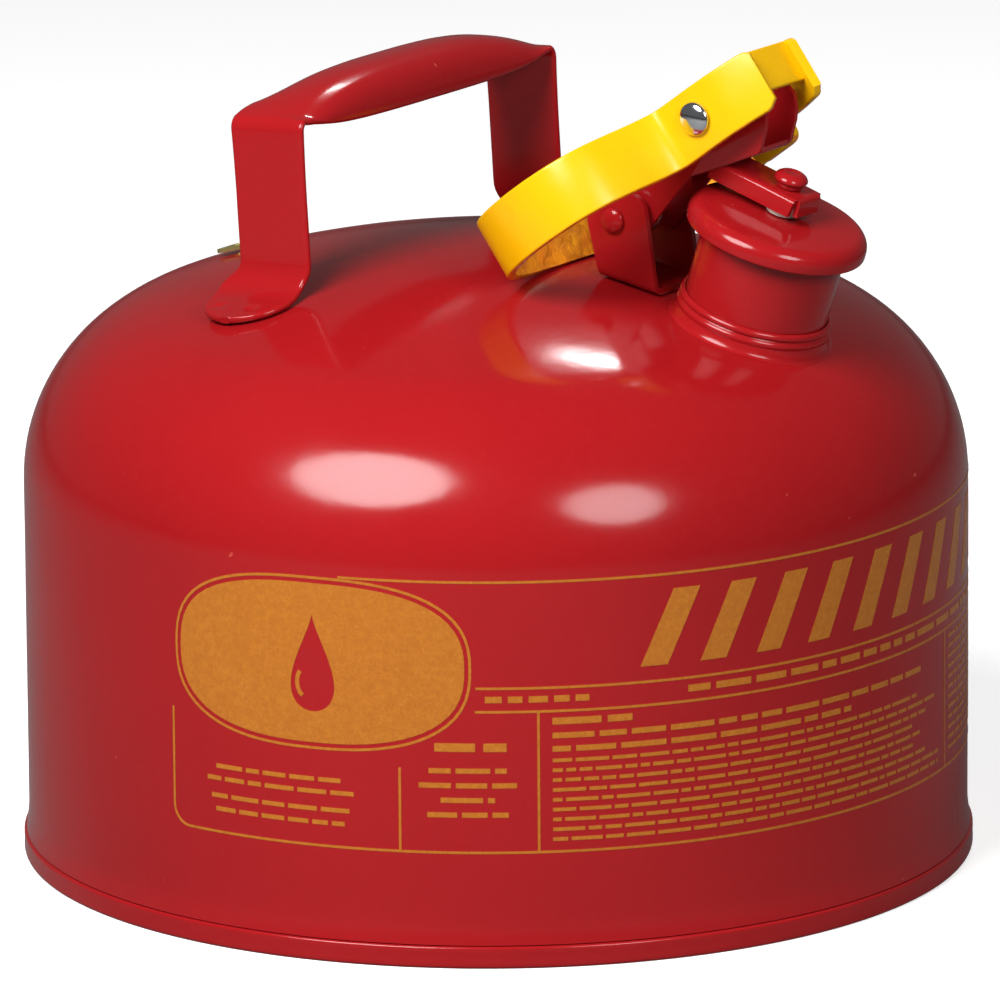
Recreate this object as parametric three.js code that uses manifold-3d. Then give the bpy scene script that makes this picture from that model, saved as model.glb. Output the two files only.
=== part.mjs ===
// Steel safety can for flammable liquids, 9.5 litres, with a self-closing spout lid and a trigger ring.
// Millimetres, +Z up. The origin is the centre of the base on the floor, +X points at the spout and the
// hinge axes lie along Y.
import * as THREE from 'three';
import { mergeVertices } from 'three/addons/utils/BufferGeometryUtils.js';
import Module from 'manifold-3d';

const wasm = await Module();
wasm.setup();

const degrees = Math.PI / 180;
const GAP = 0.3;                    // clearance between pieces that touch or turn
const ROUND = 64;                   // segments round the can
const FINE = 36;                    // segments round the spout pieces
const SMALL = 16;                   // segments round pins, washers and rivets

// Can body
const SHEET = 0.9;                  // thickness of the drawn sheet
const WALL_RADIUS = 141.3;
const WALL_TOP = 114.3;             // where the straight wall turns into the shoulder
const SHOULDER_RADIUS = 56.5;
const SHOULDER_TURN = 71.5 * degrees;
const WALL_FOOT = 7.0;              // lower edge of the wall, on the rim of the base pan
const RIM_RADIUS = 142.9;
const RIM_HEIGHT = 6.7;
const PAN_HEIGHT = 6.3;             // top of the raised base panel

// Spout: its own frame has its origin on the dome and h along the tilted neck
const SPOUT_OFFSET = 92.0;
const SPOUT_TILT = 17.5 * degrees;
const NECK_RADIUS = 21.5;
const NECK_BORE = 20.3;
const NECK_FOOT = -5.0;
const NECK_MOUTH = 31.0;
const CAP_RADIUS = 27.05;
const CAP_SKIRT = 28.8;             // h of the lower edge of the cap
const CAP_CROWN = 36.2;             // h of the top of the cap at its middle
const BASKET_RADIUS = 16.3;
const BASKET_FOOT = -46.0;

// Lid arm
const ARM_SHEET = 1.6;
const WEB_TOP = 44.5;               // h of the top of the arm over the cap
const CHANNEL_HALF = 7.4;
const FLANGE_FOOT = 38.8;
const CHANNEL_END = 8.3;            // how far the arm runs past the cap's axis
const CHEEK_OUTER = 8.6;            // half the width over the arm's two cheeks
const PIVOT = new THREE.Vector2(51.4, 199.5);      // X and Z of the lid hinge
const RIVET = new THREE.Vector2(85.2, 235.2);      // X and Z of the trigger rivet
const CHEEK_REACH = 17.8;           // radius of the cheeks' round front edge about the rivet

// Bracket under the lid hinge, in a frame that follows the slope of the dome
const BRACKET_OFFSET = 56.4;
const BRACKET_HALF = 12.0;
const BRACKET_SHEET = 1.8;
const PIN_RADIUS = 3.0;
const PIN_HEAD = 3.8;

// Trigger ring: l runs along the ring from its nose back to its tail, w is its depth
const RING_SLOPE = 36.5 * degrees;
const RING_WALL = 3.0;
const RING_DEPTH = 19.0;
const RING_LENGTH = 99.0;
const RING_NOSE_HALF = 12.3;        // half width at the nose
const RING_RIVET = new THREE.Vector2(-23.4, 10.1);  // l and w of the rivet in the ring
const RIVET_SHANK = 2.8;
const RIVET_HEAD = 5.0;

// Carrying handle: a runs along Y, b up the legs, c across the strap
const HANDLE_OFFSET = -32.8;
const HANDLE_LEAN = 3.6 * degrees;
const STRAP = 2.0;
const STRAP_HALF = 12.7;
const CORNER_HALF = 13.1;           // the strap is a little wider where it is bent at its corners
const LEG_HALF = 65.3;              // half the distance between the legs' middle surfaces
const LEG_TOP = 45.2;
const GRIP_RISE = 9.4;              // how far the grip arches over the legs' corners
const GRIP_FULLNESS = 3.2;          // how quickly the arch reaches its full height
const GRIP_LIP = 3.4;               // how far its rolled edges hang under the corners
const GRIP_HALF = 13.0;             // half width of the rolled grip
const GRIP_SQUARENESS = 2.6;        // 2 rolls it to an ellipse, more gives it a flatter top
const FOOT_END = 87.5;
const FOOT_SHIFT = 3.6;             // the near foot is set a little behind its leg, the far foot ahead of it
const FOOT_HALF = 14.6;

// ---------------------------------------------------------------------------------------------------------
// Solids

function closedBody(geometry) {
  const bare = geometry.clone();
  bare.deleteAttribute('normal');
  bare.deleteAttribute('uv');
  const merged = mergeVertices(bare, 1e-4);
  const place = merged.getAttribute('position');
  const corner = [new THREE.Vector3(), new THREE.Vector3(), new THREE.Vector3()];
  const source = merged.index.array;
  const kept = [];
  let volume = 0;
  for (let i = 0; i < source.length; i += 3) {
    const [a, b, c] = [source[i], source[i + 1], source[i + 2]];
    if (a === b || b === c || c === a) continue;
    kept.push(a, b, c);
    [a, b, c].forEach((vertex, k) => corner[k].fromBufferAttribute(place, vertex));
    volume += corner[0].dot(corner[1].clone().cross(corner[2]));
  }
  if (volume < 0) kept.reverse();
  merged.setIndex(kept);
  return merged;
}

function toManifold(geometry) {
  const body = closedBody(geometry);
  return new wasm.Manifold(new wasm.Mesh({
    numProp: 3,
    vertProperties: new Float32Array(body.getAttribute('position').array),
    triVerts: new Uint32Array(body.index.array),
  }));
}

function fromManifold(solid) {
  const { vertProperties, triVerts } = solid.getMesh();
  const geometry = new THREE.BufferGeometry();
  geometry.setAttribute('position', new THREE.Float32BufferAttribute(vertProperties, 3));
  geometry.setIndex(Array.from(triVerts));
  return geometry;
}

const joined = (first, ...others) => fromManifold(
  others.reduce((solid, other) => solid.add(toManifold(other)), toManifold(first)));
const cut = (first, ...tools) => fromManifold(
  tools.reduce((solid, tool) => solid.subtract(toManifold(tool)), toManifold(first)));
const common = (first, second) => fromManifold(toManifold(first).intersect(toManifold(second)));

const points = (pairs) => pairs.map(([x, y]) => new THREE.Vector2(x, y));

// A closed polygon with its corners rounded; each entry is x, y and the corner radius.
function roundedShape(corners) {
  const shape = new THREE.Shape();
  const count = corners.length;
  corners.forEach(([x, y, radius], i) => {
    const here = new THREE.Vector2(x, y);
    const before = new THREE.Vector2(...corners[(i + count - 1) % count]).sub(here).setLength(radius);
    const after = new THREE.Vector2(...corners[(i + 1) % count]).sub(here).setLength(radius);
    const start = here.clone().add(before);
    const end = here.clone().add(after);
    if (i === 0) shape.moveTo(start.x, start.y);
    else shape.lineTo(start.x, start.y);
    if (radius > 0) shape.quadraticCurveTo(x, y, end.x, end.y);
  });
  shape.closePath();
  return shape;
}

function extruded(shape, depth, curveSegments = 5) {
  return new THREE.ExtrudeGeometry(shape, { depth, bevelEnabled: false, curveSegments });
}

// A shape drawn in X and Z, with the given thickness along Y about yMiddle.
function plate(shape, thickness, yMiddle = 0) {
  const geometry = extruded(shape, thickness);
  geometry.rotateX(90 * degrees);
  return geometry.translate(0, yMiddle + thickness / 2, 0);
}

// A cross-section drawn in Y and Z, run along X from start to end.
function bar(shape, start, end) {
  const geometry = extruded(shape, end - start);
  geometry.applyMatrix4(new THREE.Matrix4().makeBasis(
    new THREE.Vector3(0, 1, 0), new THREE.Vector3(0, 0, 1), new THREE.Vector3(1, 0, 0)));
  return geometry.translate(start, 0, 0);
}

// A profile of radius and height turned about Z. A profile that doesn't touch the axis closes on itself.
function turned(profile, segments) {
  const outline = points(profile);
  const onAxis = outline[0].x === 0 && outline[outline.length - 1].x === 0;
  if (!onAxis) outline.push(outline[0].clone());
  return new THREE.LatheGeometry(outline, segments).rotateX(90 * degrees);
}

// The same profile turned about a line along Y through X and Z.
function turnedAlongY(profile, segments, centre) {
  return turned(profile, segments).rotateX(90 * degrees).translate(centre.x, 0, centre.y);
}

function rod(radius, halfLength) {
  return [[0, -halfLength], [radius, -halfLength], [radius, halfLength], [0, halfLength]];
}

function tube(inner, outer, low, high) {
  return [[inner, low], [outer, low], [outer, high], [inner, high]];
}

// A shank along Z with a domed head at each end.
function rivetProfile(shank, head, halfGrip, dome) {
  const half = [[shank, halfGrip], [head, halfGrip], [head, halfGrip + dome * 0.3],
    [head * 0.8, halfGrip + dome * 0.72], [head * 0.45, halfGrip + dome * 0.95], [0, halfGrip + dome]];
  const lower = half.map(([radius, height]) => [radius, -height]).reverse();
  return [...lower, ...half];
}

// ---------------------------------------------------------------------------------------------------------
// Can body and base pan

const shoulderCentre = WALL_RADIUS - SHOULDER_RADIUS;
const crownEdge = shoulderCentre + SHOULDER_RADIUS * Math.cos(SHOULDER_TURN);
const crownRadius = crownEdge / Math.cos(SHOULDER_TURN);
const crownCentre = WALL_TOP + (SHOULDER_RADIUS - crownRadius) * Math.sin(SHOULDER_TURN);

const domeHeight = (radius) => crownCentre + Math.sqrt(crownRadius ** 2 - radius ** 2);

// The can's outline from the middle of the crown down to the top of the wall, moved in by inset.
function domeOutline(inset, crownSteps, shoulderSteps) {
  const outline = [];
  const crownTurn = 90 * degrees - SHOULDER_TURN;
  for (let i = 0; i < crownSteps; i += 1) {
    const angle = crownTurn * i / crownSteps;
    const radius = crownRadius - inset;
    outline.push([radius * Math.sin(angle), crownCentre + radius * Math.cos(angle)]);
  }
  for (let i = 0; i <= shoulderSteps; i += 1) {
    const angle = SHOULDER_TURN * (1 - i / shoulderSteps);
    const radius = SHOULDER_RADIUS - inset;
    outline.push([shoulderCentre + radius * Math.cos(angle), WALL_TOP + radius * Math.sin(angle)]);
  }
  return outline;
}

function canBody() {
  const flare = [[WALL_RADIUS, 13], [WALL_RADIUS + 0.3, 10], [WALL_RADIUS + 0.9, WALL_FOOT]];
  const outside = [...domeOutline(0, 5, 8), ...flare];
  const lip = [WALL_RADIUS + 0.9 - SHEET, WALL_FOOT];
  const inside = [lip, [WALL_RADIUS - SHEET, 13], ...domeOutline(SHEET, 3, 5).reverse()];
  const opening = inSpout(turned(rod(NECK_RADIUS + GAP, 20), FINE));
  return cut(turned([...outside, ...inside], ROUND), opening);
}

function basePan() {
  const seat = RIM_RADIUS - 2.3;
  const inner = RIM_RADIUS - 4.3;
  const profile = [[0, PAN_HEIGHT], [seat - 0.7, PAN_HEIGHT], [seat, RIM_HEIGHT],
    [RIM_RADIUS - 0.8, RIM_HEIGHT], [RIM_RADIUS, RIM_HEIGHT - 0.8], [RIM_RADIUS, 1.1], [RIM_RADIUS - 1.0, 0],
    [inner + 0.9, 0], [inner, 0.9],
    [inner, PAN_HEIGHT - SHEET - 1.5], [inner - 1.5, PAN_HEIGHT - SHEET], [0, PAN_HEIGHT - SHEET]];
  return turned(profile, ROUND);
}

// ---------------------------------------------------------------------------------------------------------
// Spout, flame arrester and cap, drawn about the neck's axis

function inSpout(geometry) {
  return geometry.rotateY(SPOUT_TILT).translate(SPOUT_OFFSET, 0, domeHeight(SPOUT_OFFSET));
}

function spoutNeck() {
  const lip = NECK_RADIUS + 1.3;
  const profile = [[NECK_BORE, NECK_FOOT], [NECK_RADIUS, NECK_FOOT], [NECK_RADIUS, NECK_MOUTH - 2.6],
    [lip - 0.3, NECK_MOUTH - 2.0], [lip, NECK_MOUTH - 1.1], [lip - 0.4, NECK_MOUTH - 0.2],
    [NECK_RADIUS, NECK_MOUTH], [NECK_BORE, NECK_MOUTH - 0.5]];
  return inSpout(turned(profile, FINE));
}

function spoutCollar() {
  const bore = NECK_RADIUS + GAP;
  const upperBead = [[0, 6.9], [0.5, 6.9], [1.1, 6.3], [1.2, 5.5], [0.7, 4.8]];
  const lowerBead = [[1.3, 4.2], [1.6, 3.3], [1.3, 2.4]];
  const flare = [[1.8, 1.0], [2.6, -0.6], [3.1, -4]];
  const profile = [[0, -4], ...upperBead, ...lowerBead, ...flare].map(([proud, h]) => [bore + proud, h]);
  const can = [...domeOutline(-GAP, 5, 8), [0, WALL_TOP]];
  return cut(inSpout(turned(profile, FINE)), turned(can, ROUND));
}

function arresterBasket() {
  const inner = BASKET_RADIUS - 0.7;
  const top = NECK_MOUTH - 4.6;
  const profile = [[0, BASKET_FOOT], [BASKET_RADIUS - 1.8, BASKET_FOOT], [BASKET_RADIUS, BASKET_FOOT + 1.8],
    [BASKET_RADIUS, top], [inner, top], [inner, BASKET_FOOT + 2.2], [inner - 1.5, BASKET_FOOT + 0.7],
    [0, BASKET_FOOT + 0.7]];
  return inSpout(turned(profile, 28));
}

function arresterRim() {
  const low = NECK_MOUTH - 4.6 + GAP;
  return inSpout(turned(tube(14.5, NECK_BORE - GAP, low, low + 1.2), FINE));
}

function capShell() {
  const inner = CAP_RADIUS - 1.15;
  const profile = [[3.2, CAP_CROWN], [12, CAP_CROWN - 0.2], [20.5, CAP_CROWN - 0.7], [24, CAP_CROWN - 1.3],
    [26.2, CAP_CROWN - 2.6], [CAP_RADIUS, CAP_CROWN - 4.6], [CAP_RADIUS, CAP_SKIRT + 0.4],
    [CAP_RADIUS - 0.3, CAP_SKIRT], [inner, CAP_SKIRT], [inner, CAP_CROWN - 4.2], [25.0, CAP_CROWN - 2.5],
    [3.2, CAP_CROWN - 2.5]];
  return inSpout(turned(profile, FINE));
}

const gasketTop = CAP_CROWN - 2.5 - GAP;
const gasketFoot = NECK_MOUTH + GAP;

const capGasket = () => inSpout(turned(tube(3.2, 24.4, gasketFoot, gasketTop), FINE));
const gasketPlate = () => inSpout(turned(tube(3.2, 18.3, gasketFoot - GAP - 1.2, gasketFoot - GAP), 32));

function capRivet() {
  const foot = gasketFoot - 2 * GAP - 1.2;
  const seat = WEB_TOP + GAP;
  const profile = [[0, foot - 1.1], [4.2, foot - 1.1], [4.5, foot], [2.6, foot], [2.6, seat], [3.8, seat],
    [3.8, seat + 1.5], [5.0, seat + 2.1], [5.1, seat + 2.8], [4.3, seat + 3.8], [2.7, seat + 4.5],
    [0, seat + 4.8]];
  return inSpout(turned(profile, SMALL));
}

const capSpacer = () => inSpout(turned(tube(2.9, 4.9, CAP_CROWN + GAP, WEB_TOP - ARM_SHEET - GAP), SMALL));

// ---------------------------------------------------------------------------------------------------------
// Lid bracket, hinge pin and closing spring

const bracketTilt = Math.asin(BRACKET_OFFSET / crownRadius);

function lidBracket() {
  const inner = BRACKET_HALF - BRACKET_SHEET;
  const floor = GAP + BRACKET_SHEET;
  const section = roundedShape([[-BRACKET_HALF, GAP, 3], [BRACKET_HALF, GAP, 3], [BRACKET_HALF, 32, 0],
    [inner, 32, 0], [inner, floor, 1.4], [-inner, floor, 1.4], [-inner, 32, 0], [-BRACKET_HALF, 32, 0]]);
  const side = roundedShape([[-10, -1, 0], [10.5, -1, 0], [9.2, 3, 2], [0.6, 28.2, 4.5], [-15.5, 28.2, 5],
    [-18, 17, 2]]);
  const stamped = common(bar(section, -22, 14), plate(side, 40));
  stamped.rotateY(bracketTilt).translate(BRACKET_OFFSET, 0, domeHeight(BRACKET_OFFSET));
  return cut(stamped, turnedAlongY(rod(PIN_RADIUS + GAP, 20), SMALL, PIVOT));
}

function pivotPin() {
  return turnedAlongY(rivetProfile(PIN_RADIUS, PIN_HEAD, BRACKET_HALF + GAP, 2.1), SMALL, PIVOT);
}

function pivotWasher(side) {
  const low = CHEEK_OUTER + GAP;
  const high = BRACKET_HALF - BRACKET_SHEET - GAP;
  const middle = (low + high) / 2;
  const ring = turnedAlongY(tube(PIN_RADIUS + GAP, 6, -(high - low) / 2, (high - low) / 2), SMALL, PIVOT);
  return ring.translate(0, side * middle, 0);
}

const pivotBush = () => turnedAlongY(tube(PIN_RADIUS + GAP, 4.2, -6.6, 6.6), SMALL, PIVOT);

// The closing spring: a coil round the hinge, one end on the bracket's floor and one under the arm.
class SpringPath extends THREE.Curve {
  constructor(radius, pitch, turns) {
    super();
    Object.assign(this, { radius, pitch, turns });
  }

  getPoint(t, target = new THREE.Vector3()) {
    const legShare = 0.12;
    const start = 150 * degrees;
    const whole = this.turns * 360 * degrees;
    const onCoil = THREE.MathUtils.clamp((t - legShare) / (1 - 2 * legShare), 0, 1);
    const angle = start + whole * onCoil;
    const before = Math.max(0, legShare - t) / legShare;
    const after = Math.max(0, t - 1 + legShare) / legShare;
    const tangent = after * 9 - before * 11;
    const y = this.pitch * this.turns * (onCoil - 0.5);
    return target.set(
      PIVOT.x + this.radius * Math.cos(angle) - tangent * Math.sin(angle),
      y,
      PIVOT.y + this.radius * Math.sin(angle) + tangent * Math.cos(angle));
  }
}

function torsionSpring() {
  const wire = new THREE.Shape().absarc(0, 0, 0.8, 0, 2 * Math.PI);
  const path = new SpringPath(5.6, 2.0, 5.1);
  return new THREE.ExtrudeGeometry(wire, { steps: 72, extrudePath: path, curveSegments: 3 });
}

// ---------------------------------------------------------------------------------------------------------
// Lid arm: two cheeks and a floor behind, a turned-down channel over the cap

function lidArm() {
  const middle = CHEEK_OUTER - ARM_SHEET / 2;
  const nose = (angle) => [RIVET.x + CHEEK_REACH * Math.cos(angle * degrees),
    RIVET.y + CHEEK_REACH * Math.sin(angle * degrees)];
  const cheek = roundedShape([[43.3, 193.5, 5], [57.0, 191.8, 5], [75.8, 214.8, 2], [100.9, 224.9, 1.5],
    [...nose(-23), 0], [...nose(-10), 0], [...nose(3), 0], [...nose(15), 0], [97.2, 245.2, 2.5],
    [69.4, 231.4, 6], [43.0, 205.5, 5]]);
  const floor = roundedShape([[66, 210.9, 0], [66, 212.9, 0], [100.9, 226.4, 0.5], [100.3, 224.4, 0.5],
    [84, 217.6, 0], [76.2, 214.8, 0]]);
  const half = CHANNEL_HALF;
  const inner = CHANNEL_HALF - ARM_SHEET;
  const under = WEB_TOP - ARM_SHEET;
  const end = CHANNEL_END;
  const web = roundedShape([[-half, FLANGE_FOOT, 0], [-half, WEB_TOP, 1.8], [half, WEB_TOP, 1.8],
    [half, FLANGE_FOOT, 0], [inner, FLANGE_FOOT, 0], [inner, under, 0.5], [-inner, under, 0.5],
    [-inner, FLANGE_FOOT, 0]]);
  const tongueFoot = FLANGE_FOOT + 0.2;
  const tongue = roundedShape([[end - 5, under, 0], [end - 5, WEB_TOP, 0], [end, WEB_TOP, 1.9],
    [end, tongueFoot, 0], [end - ARM_SHEET, tongueFoot, 0], [end - ARM_SHEET, under, 0.5]]);
  const trim = roundedShape([[end - 0.9, WEB_TOP + 2, 0], [end - 2.4, FLANGE_FOOT - 1, 0],
    [end + 3, FLANGE_FOOT - 1, 0], [end + 3, WEB_TOP + 2, 0]]);
  const channel = joined(cut(bar(web, -23, end), plate(trim, 30)), plate(tongue, 2 * inner - 0.6));
  const drilled = cut(channel, turned([[0, 30], [2.9, 30], [2.9, 60], [0, 60]], SMALL));
  const bored = joined(plate(cheek, ARM_SHEET, middle), plate(cheek, ARM_SHEET, -middle),
    plate(floor, 2 * CHEEK_OUTER - ARM_SHEET), inSpout(drilled));
  return cut(bored, turnedAlongY(rod(PIN_RADIUS + GAP, 20), SMALL, PIVOT),
    turnedAlongY(rod(RIVET_SHANK + GAP, 20), SMALL, RIVET));
}

// ---------------------------------------------------------------------------------------------------------
// Trigger ring, drawn in l, y and w

// Half of the ring's plan: a neck for the rivet, a shoulder, then a wide loop for the fingers.
const ringPlan = new THREE.SplineCurve(points([[0, -RING_NOSE_HALF], [-6, -15.2], [-13, -17.6], [-21, -18.7],
  [-29, -18.9], [-35, -20], [-39, -26], [-42.5, -35], [-47, -44], [-54, -50], [-63, -52.8], [-73, -53], [-82, -51],
  [-90, -46.5], [-95.5, -39.5], [-98, -30], [-98.8, -15], [-RING_LENGTH, 0]]));
const ringCheek = -ringPlan.getPoint(3 / 17).y;

// Points along half of the plan, moved inwards by inset, from the nose to the tail.
function ringOutline(inset) {
  const steps = 44;
  const outline = [];
  for (let i = 0; i <= steps; i += 1) {
    const place = ringPlan.getPoint(i / steps);
    const along = ringPlan.getTangent(i / steps);
    outline.push([place.x + along.y * inset, place.y - along.x * inset]);
  }
  return outline;
}

function mirrored(half) {
  return [...half, ...half.slice(0, -1).reverse().map(([l, y]) => [l, -y])];
}

function inRing(geometry) {
  geometry.translate(-RING_RIVET.x, 0, -RING_RIVET.y);
  return geometry.rotateY(-RING_SLOPE).translate(RIVET.x, 0, RIVET.y);
}

function triggerRing() {
  const recess = 3.0;
  const backOfNose = -recess - 2.2;
  const insideNose = RING_NOSE_HALF - RING_WALL;
  const inner = ringOutline(RING_WALL).filter(([l]) => l < backOfNose - 0.5);
  const innerHalf = [[backOfNose, inner[0][1] + 0.3], ...inner.slice(0, -1), [RING_WALL - RING_LENGTH, 0]];
  const shape = new THREE.Shape(points([[-recess, insideNose], [-recess, -insideNose], [0, -insideNose],
    ...mirrored(ringOutline(0)), [0, insideNose]]));
  shape.holes.push(new THREE.Path(points(mirrored(innerHalf).reverse())));
  const side = roundedShape([[-RING_LENGTH - 2, 0, 0], [-2.5, 0, 0], [0.5, 2.6, 0], [0.5, RING_DEPTH, 3],
    [-RING_LENGTH - 2, RING_DEPTH, 0]]);
  const band = common(extruded(shape, RING_DEPTH + 2).translate(0, 0, -1), plate(side, 120));
  const underNose = roundedShape([[backOfNose - 0.5, -3, 0], [0.6, -3, 0], [0.6, 6, 0], [backOfNose - 0.5, 6, 0]]);
  const lug = roundedShape([[-38, 2, 0], [-36, -6.3, 3], [-19.5, -6.3, 4], [-19.5, 2, 0]]);
  const lugged = joined(cut(band, plate(underNose, 2 * insideNose - 0.2)),
    plate(lug, RING_WALL - 0.6, ringCheek - RING_WALL / 2));
  const hole = turnedAlongY(rod(RIVET_SHANK + GAP, 30), SMALL, RING_RIVET);
  const can = [...domeOutline(-0.6, 5, 8), [0, WALL_TOP]];
  return cut(inRing(cut(lugged, hole)), turned(can, ROUND));
}

function triggerRivet() {
  return turnedAlongY(rivetProfile(RIVET_SHANK, RIVET_HEAD, ringCheek + GAP + 0.2, 2.4), SMALL, RIVET);
}

function triggerSpacer(side) {
  const low = CHEEK_OUTER + GAP;
  const high = ringCheek - RING_WALL - GAP;
  const ring = turnedAlongY(tube(RIVET_SHANK + GAP, 4.4, -(high - low) / 2, (high - low) / 2), SMALL, RIVET);
  return ring.translate(0, side * (low + high) / 2, 0);
}

// ---------------------------------------------------------------------------------------------------------
// Carrying handle: a steel strap whose middle is rolled into a hollow grip

// The line across the strap's width, as (c, rise, turn) where s runs from -1 to 1 and turn is its tilt.
const flatAcross = (half) => (s) => ({ c: half * s, rise: 0, turn: 0 });

// The same line with both edges rolled down by depth along part of a superellipse.
function rolledAcross(half, depth, fold) {
  const power = 2 / GRIP_SQUARENESS;
  const reach = half / Math.sin(fold) ** power;
  const height = depth / (1 - Math.cos(fold) ** power);
  return (s) => {
    const out = Math.sin(Math.abs(s) * fold) ** power;
    const up = Math.cos(s * fold) ** power;
    const turn = Math.atan2(out ** (GRIP_SQUARENESS - 1) / reach, up ** (GRIP_SQUARENESS - 1) / height);
    return { c: Math.sign(s) * reach * out, rise: height * (up - 1), turn: Math.sign(s) * turn };
  };
}

const gripRise = (distance) => GRIP_RISE * (1 - (1 - distance / LEG_HALF) ** GRIP_FULLNESS);

// The grip's section at a distance from the corner.
function gripAcross(distance) {
  const lip = GRIP_LIP * (1 - Math.exp(-distance / 11));
  const depth = (gripRise(distance) + lip) * (1 - Math.exp(-distance / 2.5));
  const fold = 90 * degrees * (1 - Math.exp(-((distance / 5) ** 1.2)));
  return rolledAcross(GRIP_HALF, depth, fold);
}

// Stations along half of the handle, from the end of a foot to the middle of the grip.
function handleStations() {
  const footSlope = Math.asin(76 / crownRadius);
  const footLow = domeHeight(Math.hypot(76, HANDLE_OFFSET)) - domeHeight(-HANDLE_OFFSET) + STRAP / 2 + 0.9;
  const footAt = (a) => new THREE.Vector2(a, footLow - (a - 76) * Math.tan(footSlope));
  const heel = footAt(LEG_HALF);
  const bend = 9;
  const stations = [];
  const add = (curve, fractions, shapeAt) => fractions.forEach((t) => {
    stations.push({ place: curve.getPoint(t), along: curve.getTangent(t), ...shapeAt(curve.getPoint(t)) });
  });
  const footWidth = ({ x }) => {
    const fromEnd = Math.min(FOOT_END - x, FOOT_HALF);
    const roundEnd = Math.sqrt(Math.max(0, FOOT_HALF ** 2 - (FOOT_HALF - fromEnd) ** 2));
    return { across: flatAcross(Math.max(3, roundEnd)), shift: FOOT_SHIFT };
  };
  add(new THREE.LineCurve(footAt(FOOT_END), footAt(LEG_HALF + bend)), [0, 0.08, 0.25, 0.5, 1], footWidth);
  const ankle = new THREE.Vector2(LEG_HALF, heel.y + bend);
  const heelCurve = new THREE.QuadraticBezierCurve(footAt(LEG_HALF + bend), heel, ankle);
  add(heelCurve, [0.25, 0.5, 0.75, 1], ({ y }) => {
    const upLeg = THREE.MathUtils.smoothstep(y, heel.y, heel.y + 0.8 * bend);
    const half = THREE.MathUtils.lerp(FOOT_HALF, STRAP_HALF, upLeg);
    return { across: flatAcross(half), shift: FOOT_SHIFT * (1 - upLeg) };
  });
  const corner = 2.4;
  const slope = new THREE.Vector2(-1, GRIP_FULLNESS * GRIP_RISE / LEG_HALF).setLength(corner);
  const top = new THREE.Vector2(LEG_HALF, LEG_TOP);
  const under = new THREE.Vector2(LEG_HALF, LEG_TOP - corner);
  const flat = { across: flatAcross(CORNER_HALF) };
  add(new THREE.QuadraticBezierCurve(under, top, top.clone().add(slope)), [0, 0.25, 0.5, 0.75], () => flat);
  [3.2, 5.5, 9, 14, 20, 28, 38, 50, LEG_HALF].forEach((distance) => {
    const ahead = gripRise(Math.min(LEG_HALF, distance + 0.5)) - gripRise(distance - 0.5);
    const along = distance === LEG_HALF ? new THREE.Vector2(-1, 0) : new THREE.Vector2(-1, ahead).normalize();
    const place = new THREE.Vector2(LEG_HALF - distance, LEG_TOP + gripRise(distance));
    stations.push({ place, along, across: gripAcross(distance) });
  });
  return stations;
}

// One closed ring of points round the strap: its outer face, then its inner face back again.
function strapSection({ place, along, across, shift = 0 }, side) {
  const steps = 8;
  const outward = new THREE.Vector2(along.y, -along.x);
  const faces = [STRAP / 2, -STRAP / 2].map((offset) => {
    const face = [];
    for (let i = 0; i <= steps; i += 1) {
      const { c, rise, turn } = across(2 * i / steps - 1);
      const out = rise + offset * Math.cos(turn);
      const x = c + side * shift + offset * Math.sin(turn);
      face.push(new THREE.Vector3(x, side * (place.x + outward.x * out), place.y + outward.y * out));
    }
    return face;
  });
  return [...faces[0], ...faces[1].reverse()];
}

function lofted(sections) {
  const ring = sections[0].length;
  const positions = sections.flat().flatMap((point) => point.toArray());
  const index = [];
  const quad = (a, b, c, d) => index.push(a, b, c, a, c, d);
  for (let s = 0; s < sections.length - 1; s += 1) {
    for (let i = 0; i < ring; i += 1) {
      const next = (i + 1) % ring;
      quad(s * ring + i, s * ring + next, (s + 1) * ring + next, (s + 1) * ring + i);
    }
  }
  const last = (sections.length - 1) * ring;
  for (let i = 0; i < ring / 2 - 1; i += 1) {
    quad(i, ring - 1 - i, ring - 2 - i, i + 1);
    quad(last + i, last + i + 1, last + ring - 2 - i, last + ring - 1 - i);
  }
  const geometry = new THREE.BufferGeometry();
  geometry.setAttribute('position', new THREE.Float32BufferAttribute(positions, 3));
  geometry.setIndex(index);
  return closedBody(geometry);
}

function carryHandle() {
  const half = handleStations();
  const near = half.map((station) => strapSection(station, -1));
  const far = half.slice(0, -1).reverse().map((station) => strapSection(station, 1));
  const strap = lofted([...near, ...far]).rotateY(-HANDLE_LEAN);
  return strap.translate(HANDLE_OFFSET, 0, domeHeight(-HANDLE_OFFSET));
}

// ---------------------------------------------------------------------------------------------------------
// Grounding tab on the back of the dome

const TAB = { offset: -84.5, y: -9, length: 11, width: 11, thickness: 1.3, lift: 0.8 };

function onTab(geometry) {
  const tilt = Math.asin(TAB.offset / crownRadius);
  return geometry.rotateY(tilt).translate(TAB.offset, TAB.y, domeHeight(-TAB.offset));
}

function groundTab() {
  const end = 3 - TAB.length;
  const top = TAB.lift + TAB.thickness;
  const side = roundedShape([[9, GAP, 0], [5, GAP, 0], [3.6, TAB.lift, 1], [end, TAB.lift, 0], [end, top, 0],
    [4, top, 1], [5.4, GAP + TAB.thickness, 0], [9, GAP + TAB.thickness, 0]]);
  const half = TAB.width / 2;
  const plan = roundedShape([[10, -half, 3], [10, half, 3], [end - 1, half, 4], [end - 1, -half, 4]]);
  const hole = turned(rod(2.2, 9), SMALL).translate(-3, 0, 0);
  return onTab(cut(common(plate(side, 30), extruded(plan, 12).translate(0, 0, -2)), hole));
}

// ---------------------------------------------------------------------------------------------------------
// Assembly

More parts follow.
